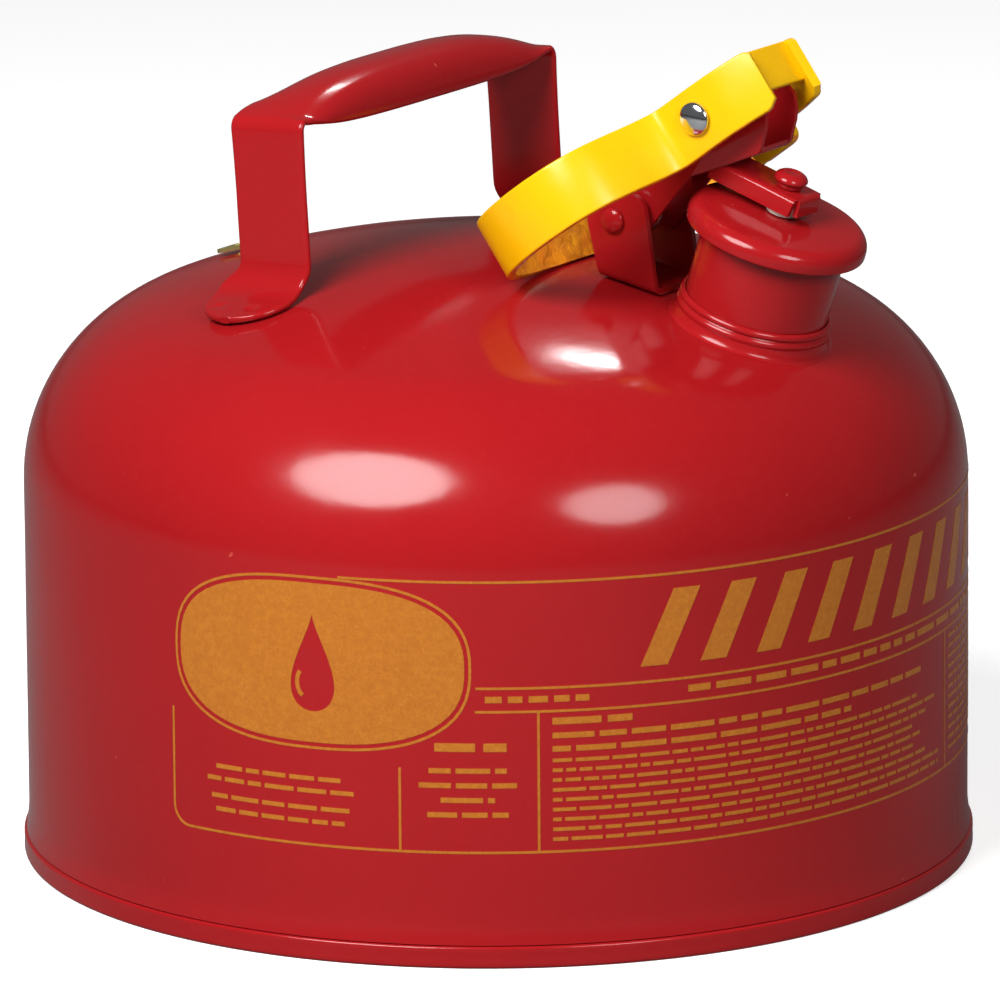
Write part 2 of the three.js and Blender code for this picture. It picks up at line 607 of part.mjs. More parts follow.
const finish = (colour, roughness, metalness = 0) => ({ colour, roughness, metalness });
const enamel = finish(0xb81a22, 0.22);
const yellow = finish(0xf6c400, 0.3);
const zinc = finish(0xb9bbb6, 0.35, 1);
const passivated = finish(0xb8a650, 0.4, 1);
const chrome = finish(0xdadcde, 0.08, 1);
const brass = finish(0xb08d57, 0.4, 1);
const rubber = finish(0x1b1b1c, 0.75);
const nylon = finish(0xdedbd0, 0.5);

const safetyCan = new THREE.Group();

function piece(name, geometry, { colour, roughness, metalness }) {
  const material = new THREE.MeshStandardMaterial({ color: colour, roughness, metalness });
  const mesh = new THREE.Mesh(closedBody(geometry), material);
  mesh.name = name;
  safetyCan.add(mesh);
}

piece('can_body', canBody(), enamel);
piece('base_pan', basePan(), enamel);
piece('spout_neck', spoutNeck(), enamel);
piece('spout_collar', spoutCollar(), enamel);
piece('flame_arrester_basket', arresterBasket(), brass);
piece('flame_arrester_rim', arresterRim(), zinc);
piece('carry_handle', carryHandle(), enamel);
piece('ground_tab', groundTab(), passivated);
piece('lid_bracket', lidBracket(), enamel);
piece('lid_pivot_pin', pivotPin(), enamel);
piece('lid_pivot_bush', pivotBush(), zinc);
piece('lid_spring', torsionSpring(), zinc);
piece('lid_arm', lidArm(), enamel);
piece('trigger_rivet', triggerRivet(), chrome);
[['near', -1], ['far', 1]].forEach(([where, side]) => {
  piece(`pivot_washer_${where}`, pivotWasher(side), nylon);
  piece(`trigger_spacer_${where}`, triggerSpacer(side), nylon);
});
piece('trigger_ring', triggerRing(), yellow);
piece('spout_cap', capShell(), enamel);
piece('cap_gasket', capGasket(), rubber);
piece('cap_gasket_plate', gasketPlate(), zinc);
piece('cap_rivet', capRivet(), enamel);
piece('cap_spacer', capSpacer(), nylon);

export default safetyCan;
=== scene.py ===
"""Looks of a round steel safety can with a self-closing spout lid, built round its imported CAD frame.

Sizes are in millimetres and become metres as each mesh is made. +X points at the spout, the hinges lie
along Y and the floor is at Z 0.
"""
import math
import random

import bmesh
import bpy
from mathutils import Matrix, Vector, noise


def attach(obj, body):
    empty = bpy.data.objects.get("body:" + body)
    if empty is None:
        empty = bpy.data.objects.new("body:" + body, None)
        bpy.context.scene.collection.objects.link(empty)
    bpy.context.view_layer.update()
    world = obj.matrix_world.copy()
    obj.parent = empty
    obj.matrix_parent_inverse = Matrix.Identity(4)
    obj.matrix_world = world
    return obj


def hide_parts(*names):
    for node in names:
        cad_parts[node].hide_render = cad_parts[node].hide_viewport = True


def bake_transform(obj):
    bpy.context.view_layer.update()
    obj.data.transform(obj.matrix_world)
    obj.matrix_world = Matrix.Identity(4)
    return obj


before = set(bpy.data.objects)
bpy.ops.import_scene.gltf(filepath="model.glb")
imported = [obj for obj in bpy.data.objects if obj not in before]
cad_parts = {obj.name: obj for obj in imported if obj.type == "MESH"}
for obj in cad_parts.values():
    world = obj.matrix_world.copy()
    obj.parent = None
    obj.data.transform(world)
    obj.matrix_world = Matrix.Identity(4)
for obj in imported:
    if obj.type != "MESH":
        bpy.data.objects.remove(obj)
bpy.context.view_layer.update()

MM = 0.001
GAP = 0.3

# Can body
SHEET = 0.9
WALL_RADIUS = 141.3
WALL_TOP = 114.3
SHOULDER_RADIUS = 56.5
SHOULDER_TURN = math.radians(71.5)
WALL_FOOT = 7.0
RIM_RADIUS = 142.9
RIM_HEIGHT = 6.7
PAN_HEIGHT = 6.3
RIPPLE = 0.05            # how far the drawn sheet strays from a true surface
SHOULDER_CENTRE = WALL_RADIUS - SHOULDER_RADIUS
CROWN_EDGE = SHOULDER_CENTRE + SHOULDER_RADIUS * math.cos(SHOULDER_TURN)
CROWN_RADIUS = CROWN_EDGE / math.cos(SHOULDER_TURN)
CROWN_CENTRE = WALL_TOP + (SHOULDER_RADIUS - CROWN_RADIUS) * math.sin(SHOULDER_TURN)

# Spout, in a frame with its origin on the dome and h along the tilted neck
SPOUT_OFFSET = 92.0
SPOUT_TILT = math.radians(17.5)
NECK_RADIUS = 21.5
NECK_BORE = 20.3
NECK_FOOT = -5.0
NECK_MOUTH = 31.0
CAP_RADIUS = 27.05
CAP_SKIRT = 28.8
CAP_CROWN = 36.2
BASKET_RADIUS = 16.3
BASKET_FOOT = -46.0
WEB_TOP = 44.5           # h of the top of the arm over the cap
ARM_SHEET = 1.6

# Lid hinge and trigger rivet, as X and Z
PIVOT = (51.4, 199.5)
RIVET = (85.2, 235.2)
CHEEK_OUTER = 8.6
BRACKET_HALF = 12.0
BRACKET_SHEET = 1.8
PIN_RADIUS = 3.0
PIN_HEAD = 3.8

# Trigger ring: l along it from the nose back to the tail, w its depth
RING_SLOPE = math.radians(36.5)
RING_WALL = 3.0
RING_DEPTH = 19.0
RING_NOSE_HALF = 12.3
RING_RIVET = (-23.4, 10.1)
RING_EDGE = 0.8          # rounding of the ring's edges
RING_RECESS = 3.0        # how far the nose's cross wall is set back
CROSS_WALL = 2.2
RIVET_SHANK = 2.8
RIVET_HEAD = 5.0

# Carrying handle: a along Y, b up the legs, c across the strap
HANDLE_OFFSET = -32.8
HANDLE_LEAN = math.radians(3.6)
STRAP = 2.0
STRAP_HALF = 12.7
CORNER_HALF = 13.1
LEG_HALF = 65.3
LEG_TOP = 45.2
GRIP_RISE = 9.4
GRIP_FULLNESS = 3.2
GRIP_LIP = 3.4
GRIP_HALF = 13.0
GRIP_SQUARENESS = 2.6    # 2 rolls the grip to an ellipse, more gives it a flatter top
FOOT_END = 87.5
FOOT_SHIFT = 3.6         # the near foot is set behind its leg, the far foot ahead of it
FOOT_HALF = 14.6
WELDS = (-6.5, 5.5)      # c of the two spot welds of each foot
WELD_LINE = 80.5         # a of the welds

# Closing spring: its coil round the hinge
COIL_RADIUS = 5.6
COIL_PITCH = 2.0
COIL_TURNS = 5.1

# Segments round a turned piece
ROUND = 240              # the can and its base
FINE = 96                # the spout and the cap
SMALL = 48               # rivets, pins and washers

# Studio: the background's brightness to the camera and to other rays, and the floor's glow to the camera
BACKDROP_SEEN = 0.9
ROOM_STRENGTH = 0.12
FLOOR_GLOW = 0.55

# Camera: where it stands in metres, where it looks, and how far it is rolled
VIEW_FROM = (2.0075, -2.8670, 0.9666)
VIEW_ALONG = (-0.5567, 0.7956, -0.2390)
VIEW_ROLL = -0.0075
VIEW_LENS = 433.15


# ----------------------------------------
# Frames of the groups

def dome_height(radius):
    """Height of the outside of the can over its base at a distance from its axis."""
    if radius > CROWN_EDGE:
        return WALL_TOP + math.sqrt(SHOULDER_RADIUS ** 2 - (radius - SHOULDER_CENTRE) ** 2)
    return CROWN_CENTRE + math.sqrt(CROWN_RADIUS ** 2 - radius ** 2)


def turn_y(angle):
    return Matrix.Rotation(angle, 4, "Y")


SPOUT = Matrix.Translation((SPOUT_OFFSET, 0, dome_height(SPOUT_OFFSET))) @ turn_y(SPOUT_TILT)
RING = (Matrix.Translation((RIVET[0], 0, RIVET[1])) @ turn_y(-RING_SLOPE)
        @ Matrix.Translation((-RING_RIVET[0], 0, -RING_RIVET[1])))
HANDLE = Matrix.Translation((HANDLE_OFFSET, 0, dome_height(-HANDLE_OFFSET))) @ turn_y(-HANDLE_LEAN)


def across(centre, y=0.0):
    """Frame of a piece that is turned about a line along Y through X and Z."""
    return Matrix.Translation((centre[0], y, centre[1])) @ Matrix.Rotation(math.radians(90), 4, "X")


# ----------------------------------------
# Materials: every one is made of nodes, in the object's own coordinates, in metres

def grey(level):
    return level, level, level


class Finish:
    """A Principled material with helpers that add the detail."""

    def __init__(self, name, roughness, metallic=0.0):
        self.material = bpy.data.materials.new(name)
        self.material.use_nodes = True
        self.nodes = self.material.node_tree.nodes
        self.links = self.material.node_tree.links
        self.shader = self.nodes["Principled BSDF"]
        self.shader.inputs["Roughness"].default_value = roughness
        self.shader.inputs["Metallic"].default_value = metallic
        self.place = self.nodes.new("ShaderNodeTexCoord").outputs["Object"]
        self.normal = None

    def noise(self, scale, detail=3.0, distortion=0.0, stretch=None):
        node = self.nodes.new("ShaderNodeTexNoise")
        node.inputs["Scale"].default_value = scale
        node.inputs["Detail"].default_value = detail
        node.inputs["Distortion"].default_value = distortion
        place = self.place
        if stretch:
            mapping = self.nodes.new("ShaderNodeMapping")
            mapping.inputs["Scale"].default_value = stretch
            self.links.new(place, mapping.inputs["Vector"])
            place = mapping.outputs["Vector"]
        self.links.new(place, node.inputs["Vector"])
        return node.outputs["Fac"]

    def veins(self, scale):
        node = self.nodes.new("ShaderNodeTexVoronoi")
        node.feature = "DISTANCE_TO_EDGE"
        node.inputs["Scale"].default_value = scale
        warp = self.nodes.new("ShaderNodeTexNoise")
        warp.inputs["Scale"].default_value = scale * 1.7
        shift = self.nodes.new("ShaderNodeVectorMath")
        shift.operation = "MULTIPLY_ADD"
        shift.inputs[1].default_value = (0.008, 0.008, 0.008)
        self.links.new(self.place, warp.inputs["Vector"])
        self.links.new(warp.outputs["Color"], shift.inputs[0])
        self.links.new(self.place, shift.inputs[2])
        self.links.new(shift.outputs["Vector"], node.inputs["Vector"])
        return node.outputs["Distance"]

    def ramp(self, source, stops):
        """A colour ramp; stops are (position, colour)."""
        node = self.nodes.new("ShaderNodeValToRGB")
        elements = node.color_ramp.elements
        while len(elements) < len(stops):
            elements.new(0.5)
        for element, (position, colour) in zip(elements, stops):
            element.position = position
            element.color = (*colour, 1)
        self.links.new(source, node.inputs["Fac"])
        return node.outputs["Color"]

    def over(self, below, above, share):
        """Mixes one colour over another where share is high."""
        node = self.nodes.new("ShaderNodeMix")
        node.data_type = "RGBA"
        self.links.new(share, node.inputs["Factor"])
        self.links.new(below, node.inputs["A"])
        self.links.new(above, node.inputs["B"])
        return node.outputs["Result"]

    def colour(self, source):
        self.links.new(source, self.shader.inputs["Base Color"])

    def roughness(self, source, low, high):
        node = self.nodes.new("ShaderNodeMapRange")
        node.inputs["From Min"].default_value = 0.3
        node.inputs["From Max"].default_value = 0.7
        node.inputs["To Min"].default_value = low
        node.inputs["To Max"].default_value = high
        self.links.new(source, node.inputs["Value"])
        self.links.new(node.outputs["Result"], self.shader.inputs["Roughness"])

    def bump(self, source, strength, depth):
        node = self.nodes.new("ShaderNodeBump")
        node.inputs["Strength"].default_value = strength
        node.inputs["Distance"].default_value = depth
        self.links.new(source, node.inputs["Height"])
        if self.normal:
            self.links.new(self.normal, node.inputs["Normal"])
        self.normal = node.outputs["Normal"]
        self.links.new(self.normal, self.shader.inputs["Normal"])


def enamel(name):
    """Glossy baked enamel with orange peel and a few specks of dust under it."""
    finish = Finish(name, 0.16)
    red = finish.ramp(finish.noise(9, 4), [(0.3, (0.29, 0.0060, 0.0082)), (0.7, (0.335, 0.0078, 0.0100))])
    fleck = finish.ramp(finish.noise(900, 2), [(0.0, (0.255, 0.0050, 0.0070)), (1.0, (0.37, 0.011, 0.013))])
    flecked = finish.ramp(finish.noise(300, 1), [(0.4, grey(0)), (0.8, grey(0.6))])
    body = finish.over(red, fleck, flecked)
    speck = finish.ramp(finish.noise(330, 1, 0.4), [(0.81, grey(0)), (0.83, grey(0.5))])
    pale = finish.ramp(finish.noise(40), [(0.0, (0.55, 0.06, 0.02)), (1.0, (0.6, 0.14, 0.1))])
    finish.colour(finish.over(body, pale, speck))
    finish.roughness(finish.noise(22, 5), 0.11, 0.18)
    finish.bump(finish.noise(55, 2), 0.15, 0.0006)
    finish.bump(finish.noise(420, 2), 0.05, 0.0003)
    finish.shader.inputs["Specular IOR Level"].default_value = 0.3
    return finish.material


def yellow_plastic(name):
    """Moulded glossy plastic with slight flow marks."""
    finish = Finish(name, 0.25)
    flow = finish.noise(28, 4, 0.6)
    finish.colour(finish.ramp(flow, [(0.25, (0.76, 0.39, 0.0006)), (0.75, (0.82, 0.46, 0.0010))]))
    finish.shader.inputs["Specular IOR Level"].default_value = 0.35
    finish.roughness(finish.noise(60, 4), 0.2, 0.32)
    finish.bump(finish.noise(90, 3, 0.5), 0.12, 0.0005)
    finish.bump(finish.noise(1500, 2), 0.05, 0.0001)
    return finish.material


def yellow_painted_shade(name):
    """The inside and underside of the moulding: a darker orange copy of the yellow as painted shade, with
    darker veined lines over it and an uneven surface with sink marks.
    """
    finish = Finish(name, 0.3)
    base = finish.ramp(finish.noise(70, 4, 1.5), [(0.3, (0.62, 0.15, 0.004)), (0.65, (0.95, 0.38, 0.008))])
    vein = finish.ramp(finish.noise(300, 2), [(0.0, (0.50, 0.12, 0.01)), (1.0, (0.60, 0.20, 0.01))])
    lines = finish.ramp(finish.veins(150), [(0.02, grey(0.55)), (0.16, grey(0))])
    finish.colour(finish.over(base, vein, lines))
    finish.roughness(finish.noise(80, 4), 0.22, 0.4)
    finish.bump(finish.noise(130, 3, 1.2), 0.7, 0.0012)
    finish.bump(finish.veins(150), 0.35, 0.0006)
    return finish.material


def plated(name, dark, light, roughness):
    """Plated metal with fine rubbed streaks."""
    low, high = roughness
    finish = Finish(name, high, 1.0)
    finish.colour(finish.ramp(finish.noise(160, 5, 0.8), [(0.3, dark), (0.7, light)]))
    finish.roughness(finish.noise(300, 4, 0, (1, 6, 1)), low, high)
    finish.bump(finish.noise(900, 3, 0, (1, 5, 1)), 0.12, 0.0001)
    return finish.material


def dull(name, dark, light, roughness, grain):
    """Rubber or nylon: a fine grain and no shine."""
    finish = Finish(name, roughness)
    finish.colour(finish.ramp(finish.noise(220, 5), [(0.3, dark), (0.7, light)]))
    finish.roughness(finish.noise(400, 3), roughness - 0.08, roughness + 0.08)
    finish.bump(finish.noise(grain, 2), 0.2, 0.0002)
    return finish.material


def printed(name):
    """Screen-printed gold ink, a little thin in places."""
    finish = Finish(name, 0.3)
    ink = finish.ramp(finish.noise(500, 3), [(0.3, (0.40, 0.125, 0.012)), (0.7, (0.47, 0.16, 0.016))])
    thin = finish.ramp(finish.noise(25, 3), [(0.0, (0.36, 0.10, 0.012)), (1.0, (0.42, 0.13, 0.014))])
    finish.shader.inputs["Specular IOR Level"].default_value = 0.3
    thinned = finish.ramp(finish.noise(1200, 2), [(0.45, grey(0)), (0.7, grey(1))])
    finish.colour(finish.over(ink, thin, thinned))
    finish.roughness(finish.noise(200, 3), 0.24, 0.36)
    finish.bump(finish.noise(700, 2), 0.08, 0.0001)
    return finish.material


RED = enamel("red_enamel_paint")
YELLOW = yellow_plastic("yellow_moulding")
# A darker copy of the yellow for the ring's inner walls and underside: painted shade
YELLOW_PAINTED_SHADE = yellow_painted_shade("yellow_moulding_painted_shade")
CHROME = plated("bright_chrome", (0.62, 0.64, 0.66), (0.8, 0.81, 0.82), (0.06, 0.14))
ZINC = plated("zinc_plate", (0.36, 0.37, 0.37), (0.58, 0.58, 0.57), (0.28, 0.42))
PASSIVATED = plated("yellow_zinc_plate", (0.60, 0.54, 0.16), (0.80, 0.77, 0.36), (0.3, 0.45))
BRASS = plated("brass_wire", (0.42, 0.26, 0.1), (0.6, 0.42, 0.18), (0.3, 0.45))
RUBBER = dull("black_rubber_seal", (0.012, 0.012, 0.013), (0.03, 0.03, 0.031), 0.7, 700)
NYLON = dull("nylon_washer", (0.62, 0.60, 0.53), (0.72, 0.70, 0.63), 0.45, 500)
GOLD = printed("gold_print_ink")


# ----------------------------------------
# Meshes

def rounded(corners, steps=5):
    """Points of an outline whose corners are (x, y, radius)."""
    outline = []
    count = len(corners)
    for i, (x, y, radius) in enumerate(corners):
        here = Vector((x, y))
        if radius == 0:
            outline.append(here)
            continue
        start = here + (Vector(corners[i - 1][:2]) - here).normalized() * radius
        end = here + (Vector(corners[(i + 1) % count][:2]) - here).normalized() * radius
        for k in range(steps + 1):
            t = k / steps
            outline.append(start * (1 - t) ** 2 + here * 2 * t * (1 - t) + end * t ** 2)
    return outline


def arc(centre, radius, start, end, steps):
    """Points round part of a circle; angles in degrees from the first axis."""
    angles = [math.radians(start + (end - start) * i / steps) for i in range(steps + 1)]
    return [(centre[0] + radius * math.cos(a), centre[1] + radius * math.sin(a)) for a in angles]


def turned(profile, segments):
    """Points and faces of a profile of (radius, height) turned about Z, closed on itself off the axis."""
    points = []
    faces = []
    rings = []
    for radius, height in profile:
        count = segments if radius > 1e-6 else 1
        rings.append([len(points) + i for i in range(count)])
        for i in range(count):
            angle = 2 * math.pi * i / segments
            points.append((radius * math.cos(angle), radius * math.sin(angle), height))
    pairs = list(zip(rings, rings[1:]))
    if len(rings[0]) > 1 and len(rings[-1]) > 1:
        pairs.append((rings[-1], rings[0]))
    for lower, upper in pairs:
        for i in range(segments):
            j = (i + 1) % segments
            below = [lower[i % len(lower)], lower[j % len(lower)]]
            above = [upper[j % len(upper)], upper[i % len(upper)]]
            faces.append(list(dict.fromkeys(below + above)))
    return points, faces


def lofted(sections, closed=False):
    """Points and faces through closed sections, with flat ends unless the loft closes on itself."""
    ring = len(sections[0])
    points = [point for section in sections for point in section]
    faces = []
    last = len(sections) if closed else len(sections) - 1
    for s in range(last):
        here = s * ring
        there = (s + 1) % len(sections) * ring
        for i in range(ring):
            j = (i + 1) % ring
            faces.append([here + i, here + j, there + j, there + i])
    if not closed:
        faces.append(list(range(ring)))
        faces.append(list(range(last * ring, (last + 1) * ring))[::-1])
    return points, faces


def extruded(outline, low, high):
    """Points and faces of an outline in its own x and y, run along z."""
    return lofted([[(x, y, z) for x, y in outline] for z in (low, high)])


def object_of(name, mesh, merge, flat=None):
    """An object from a mesh, once its doubled points and flat faces are merged and its faces turned out."""
    work = bmesh.new()
    work.from_mesh(mesh)
    bmesh.ops.remove_doubles(work, verts=work.verts, dist=merge)
    if flat:
        bmesh.ops.dissolve_limit(work, angle_limit=flat, verts=work.verts, edges=work.edges)
    bmesh.ops.recalc_face_normals(work, faces=work.faces)
    work.to_mesh(mesh)
    work.free()
    piece = bpy.data.objects.new(name, mesh)
    bpy.context.scene.collection.objects.link(piece)
    return piece


def solid(name, shape, place=Matrix.Identity(4)):
    """An object from points and faces in millimetres."""
    points, faces = shape
    mesh = bpy.data.meshes.new(name)
    mesh.from_pydata([(place @ Vector(point)) * MM for point in points], [], faces)
    return object_of(name, mesh, 1e-7)


def apply_modifiers(piece):
    graph = bpy.context.evaluated_depsgraph_get()
    mesh = bpy.data.meshes.new_from_object(piece.evaluated_get(graph))
    piece.modifiers.clear()
    piece.data = mesh


def combined(piece, tool, operation):
    """Joins the tool to the piece, or cuts it away, and removes the tool."""
    boolean = piece.modifiers.new("combine", "BOOLEAN")
    boolean.operation = operation
    boolean.solver = "EXACT"
    boolean.object = tool
    apply_modifiers(piece)
    bpy.data.objects.remove(tool)


def softened(piece, width, segments=2):
    """Rounds the edges of a piece with flat faces."""
    bevel = piece.modifiers.new("soft edges", "BEVEL")
    bevel.width = width * MM
    bevel.segments = segments
    bevel.limit_method = "ANGLE"
    bevel.angle_limit = math.radians(32)
    bevel.harden_normals = True
    return piece


def dressed(piece, material, body, nodes, sharp=40):
    """Gives a finished mesh its material and its body, and hides the CAD nodes that it stands for."""
    mesh = piece.data
    mesh.materials.clear()
    mesh.materials.append(material)
    mesh.polygons.foreach_set("use_smooth", [True] * len(mesh.polygons))
    mesh.set_sharp_from_angle(angle=math.radians(sharp))
    if body:
        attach(piece, body)
    if nodes:
        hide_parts(*nodes)
    return piece


def from_node(node, name):
    """A copy of a CAD node's mesh with its flat faces whole again, so that its edges can be rounded."""
    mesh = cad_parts[node].data.copy()
    mesh.name = name
    return object_of(name, mesh, 2e-6, math.radians(1.0))


def ripple(point):
    """How far pressed sheet strays outwards at a point, in millimetres."""
    place = Vector(point)
    return RIPPLE * (noise.noise(place / 38) + 0.4 * noise.noise(place / 13 + Vector((7, 3, 1))))


# ----------------------------------------
# Can body and base

def can_outline(inset, crown_steps, shoulder_steps):
    """The can from the middle of its crown to the top of the wall, moved in by inset."""
    turn = math.degrees(SHOULDER_TURN)
    crown = arc((0, CROWN_CENTRE), CROWN_RADIUS - inset, 90, turn, crown_steps)
    shoulder = arc((SHOULDER_CENTRE, WALL_TOP), SHOULDER_RADIUS - inset, turn, 0, shoulder_steps)
    crown[0] = (0.0, crown[0][1])
    return crown[:-1] + shoulder


def can_shell():
    steps = [(WALL_RADIUS, WALL_TOP - 10 * i) for i in range(1, 10)]
    flare = [(WALL_RADIUS, 15), (WALL_RADIUS + 0.1, 12.5), (WALL_RADIUS + 0.4, 10),
             (WALL_RADIUS + 0.9, WALL_FOOT)]
    outside = can_outline(0, 28, 26) + steps + flare
    inside = [(WALL_RADIUS + 0.9 - SHEET, WALL_FOOT), (WALL_RADIUS - SHEET, 14)]
    inside += can_outline(SHEET, 10, 10)[::-1]
    points, faces = turned(outside + inside, ROUND)
    moved = []
    for point in points:
        place = Vector(point)
        outwards = (place - Vector((0, 0, 60))).normalized()
        moved.append(place + outwards * ripple(place))
    shell = solid("can_shell", (moved, faces))
    bore = NECK_RADIUS + GAP
    opening = solid("opening", turned([(0, -20), (bore, -20), (bore, 20), (0, 20)], FINE), SPOUT)
    combined(shell, opening, "DIFFERENCE")
    dressed(shell, RED, "can", ["can_body"])


def base():
    seat = RIM_RADIUS - 2.3
    inner = RIM_RADIUS - 4.3
    profile = [(0, PAN_HEIGHT), (seat - 0.7, PAN_HEIGHT), (seat - 0.2, PAN_HEIGHT + 0.2),
               (seat + 0.2, RIM_HEIGHT - 0.1)]
    profile += arc((RIM_RADIUS - 0.9, RIM_HEIGHT - 0.9), 0.9, 90, 0, 5)
    profile += [(RIM_RADIUS, 4.6), (RIM_RADIUS - 0.12, 3.4), (RIM_RADIUS, 2.2)]
    profile += arc((RIM_RADIUS - 1.1, 1.1), 1.1, 0, -90, 5)
    profile += arc((inner + 1, 1), 1.0, -90, -180, 4)
    profile += [(inner, PAN_HEIGHT - 2.6), (inner - 0.4, PAN_HEIGHT - 1.4),
                (inner - 1.5, PAN_HEIGHT - SHEET), (100, PAN_HEIGHT - SHEET), (0, PAN_HEIGHT - SHEET)]
    dressed(solid("base_rim", turned(profile, ROUND)), RED, "can", ["base_pan"])


# ----------------------------------------
# Spout

def neck():
    lip = NECK_RADIUS + 1.3
    profile = [(NECK_BORE, NECK_FOOT), (NECK_RADIUS, NECK_FOOT), (NECK_RADIUS, 8), (NECK_RADIUS, 18),
               (NECK_RADIUS, NECK_MOUTH - 2.8)]
    profile += arc((lip - 1.3, NECK_MOUTH - 1.3), 1.3, -60, 90, 8)
    profile += [(NECK_BORE + 0.3, NECK_MOUTH - 0.1), (NECK_BORE, NECK_MOUTH - 0.5)]
    tube = solid("neck_tube", turned(profile, FINE), SPOUT)
    dressed(tube, RED, "can", ["spout_neck"])


def on_dome(radius, angle):
    """Height in the spout's frame of the can's surface at a place round the neck."""
    low, high = -12.0, 6.0
    for _ in range(24):
        middle = (low + high) / 2
        place = SPOUT @ Vector((radius * math.cos(angle), radius * math.sin(angle), middle))
        if place.z < dome_height(math.hypot(place.x, place.y)):
            low = middle
        else:
            high = middle
    return high


def collar():
    """Two beads round the foot of the neck over a flare that follows the dome."""
    bore = NECK_RADIUS + GAP
    upper = [(bore, 6.9), (bore + 0.4, 6.95), (bore + 0.9, 6.6), (bore + 1.2, 6.0), (bore + 1.25, 5.5),
             (bore + 1.05, 5.0), (bore + 0.7, 4.7), (bore + 0.8, 4.5), (bore + 1.2, 4.2), (bore + 1.5, 3.7),
             (bore + 1.6, 3.2), (bore + 1.5, 2.7), (bore + 1.3, 2.4), (bore + 1.4, 1.8), (bore + 1.7, 1.1)]
    foot = [(bore + 2.0, 0.9), (bore + 2.5, 0.35), (bore + 3.1, 0.06)]
    sections = []
    for i in range(FINE):
        angle = 2 * math.pi * i / FINE
        section = list(upper)
        section += [(radius, on_dome(radius, angle) + lift) for radius, lift in foot]
        section.append((bore, on_dome(bore, angle) + 0.06))
        sections.append([(r * math.cos(angle), r * math.sin(angle), h) for r, h in section])
    shape = lofted(sections, closed=True)
    dressed(solid("neck_collar", shape, SPOUT), RED, "can", ["spout_collar"], 60)


def arrester():
    """The flame arrester: a brass wire basket hung in the neck from a steel rim."""
    round_cells = 56
    wire = 0.32
    top = NECK_MOUTH - 4.6
    radius = BASKET_RADIUS - wire
    wall = [(radius, top - (top - BASKET_FOOT - 2) * i / 40) for i in range(41)]
    floor = [(radius - 0.7, BASKET_FOOT + 0.8)]
    floor += [(radius - 2 - 1.9 * i, BASKET_FOOT + wire) for i in range(7)]
    points, faces = turned(wall + floor, round_cells)
    open_faces = [face for face in faces if max(face) - min(face) < 3 * round_cells]
    basket = solid("arrester_basket", (points, open_faces), SPOUT)
    mesh_wires = basket.modifiers.new("wires", "WIREFRAME")
    mesh_wires.thickness = 2 * wire * MM
    mesh_wires.use_even_offset = False
    apply_modifiers(basket)
    dressed(basket, BRASS, "can", ["flame_arrester_basket"])
    low = top + GAP
    rim = turned(rounded([(14.5, low, 0.3), (NECK_BORE - GAP, low, 0.3), (NECK_BORE - GAP, low + 1.2, 0.4),
                          (14.5, low + 1.2, 0.4)]), FINE)
    dressed(solid("arrester_rim", rim, SPOUT), ZINC, "can", ["flame_arrester_rim"])


def cap():
    """The lid, the seal and seal plate under it, and the spacer between the lid and the arm."""
    bore = 3.2
    ceiling = CAP_CROWN - 2.5
    inner = CAP_RADIUS - 1.15
    profile = [(bore, CAP_CROWN), (7, CAP_CROWN - 0.05), (12, CAP_CROWN - 0.2), (17, CAP_CROWN - 0.42),
               (20.5, CAP_CROWN - 0.72), (22.2, CAP_CROWN - 0.95)]
    profile += arc((CAP_RADIUS - 4.4, CAP_CROWN - 5.4), 4.4, 80, 0, 12)
    profile += [(CAP_RADIUS, CAP_SKIRT + 0.5)]
    profile += arc((CAP_RADIUS - 0.5, CAP_SKIRT + 0.5), 0.5, -20, -90, 4)
    profile += [(inner, CAP_SKIRT), (inner, CAP_CROWN - 4.2), (25.0, ceiling), (bore, ceiling)]
    dressed(solid("cap_shell", turned(profile, FINE), SPOUT), RED, "cap", ["spout_cap"], 50)
    foot = NECK_MOUTH + GAP
    top = ceiling - GAP
    seal = rounded([(bore, foot, 0), (23.8, foot, 0.8), (24.4, top - 1, 0.4), (24.4, top, 0.3),
                    (bore, top, 0)])
    dressed(solid("cap_seal", turned(seal, FINE), SPOUT), RUBBER, "cap", ["cap_gasket"])
    low = foot - GAP - 1.2
    high = low + 1.2
    plate = rounded([(bore, low, 0), (18.3, low, 0.5), (18.3, high, 0.5), (bore, high, 0)])
    seal_plate = solid("seal_plate", turned(plate, FINE), SPOUT)
    dressed(seal_plate, ZINC, "cap", ["cap_gasket_plate"])
    low = CAP_CROWN + GAP
    high = WEB_TOP - ARM_SHEET - GAP
    spacer = rounded([(2.9, low, 0.3), (4.9, low, 0.4), (4.9, high, 0.4), (2.9, high, 0.3)])
    arm_spacer = solid("arm_spacer", turned(spacer, SMALL), SPOUT)
    dressed(arm_spacer, NYLON, "cap", ["cap_spacer"])


def swivel_rivet():
    """The rivet that holds the cap under the arm: a flat collar, a waist and a domed head."""
    foot = NECK_MOUTH - GAP - 1.2
    seat = WEB_TOP + GAP
    profile = [(0, foot - 1.1), (3.4, foot - 1.1), (4.2, foot - 0.8), (4.5, foot), (2.6, foot), (2.6, seat)]
    profile += [(radius, seat + rise) for radius, rise in (
        (3.6, 0), (3.8, 0.3), (3.75, 1.2), (4.3, 1.6), (4.9, 1.95), (5.1, 2.4), (5.0, 2.9), (4.5, 3.6),
        (3.7, 4.15), (2.8, 4.5), (2.3, 4.55), (1.9, 4.3), (1.2, 4.2), (0, 4.2))]
    shape = turned(profile, SMALL)
    dressed(solid("swivel_rivet", shape, SPOUT), RED, "arm", ["cap_rivet"], 50)


# ----------------------------------------
# Hinge, spring and arm

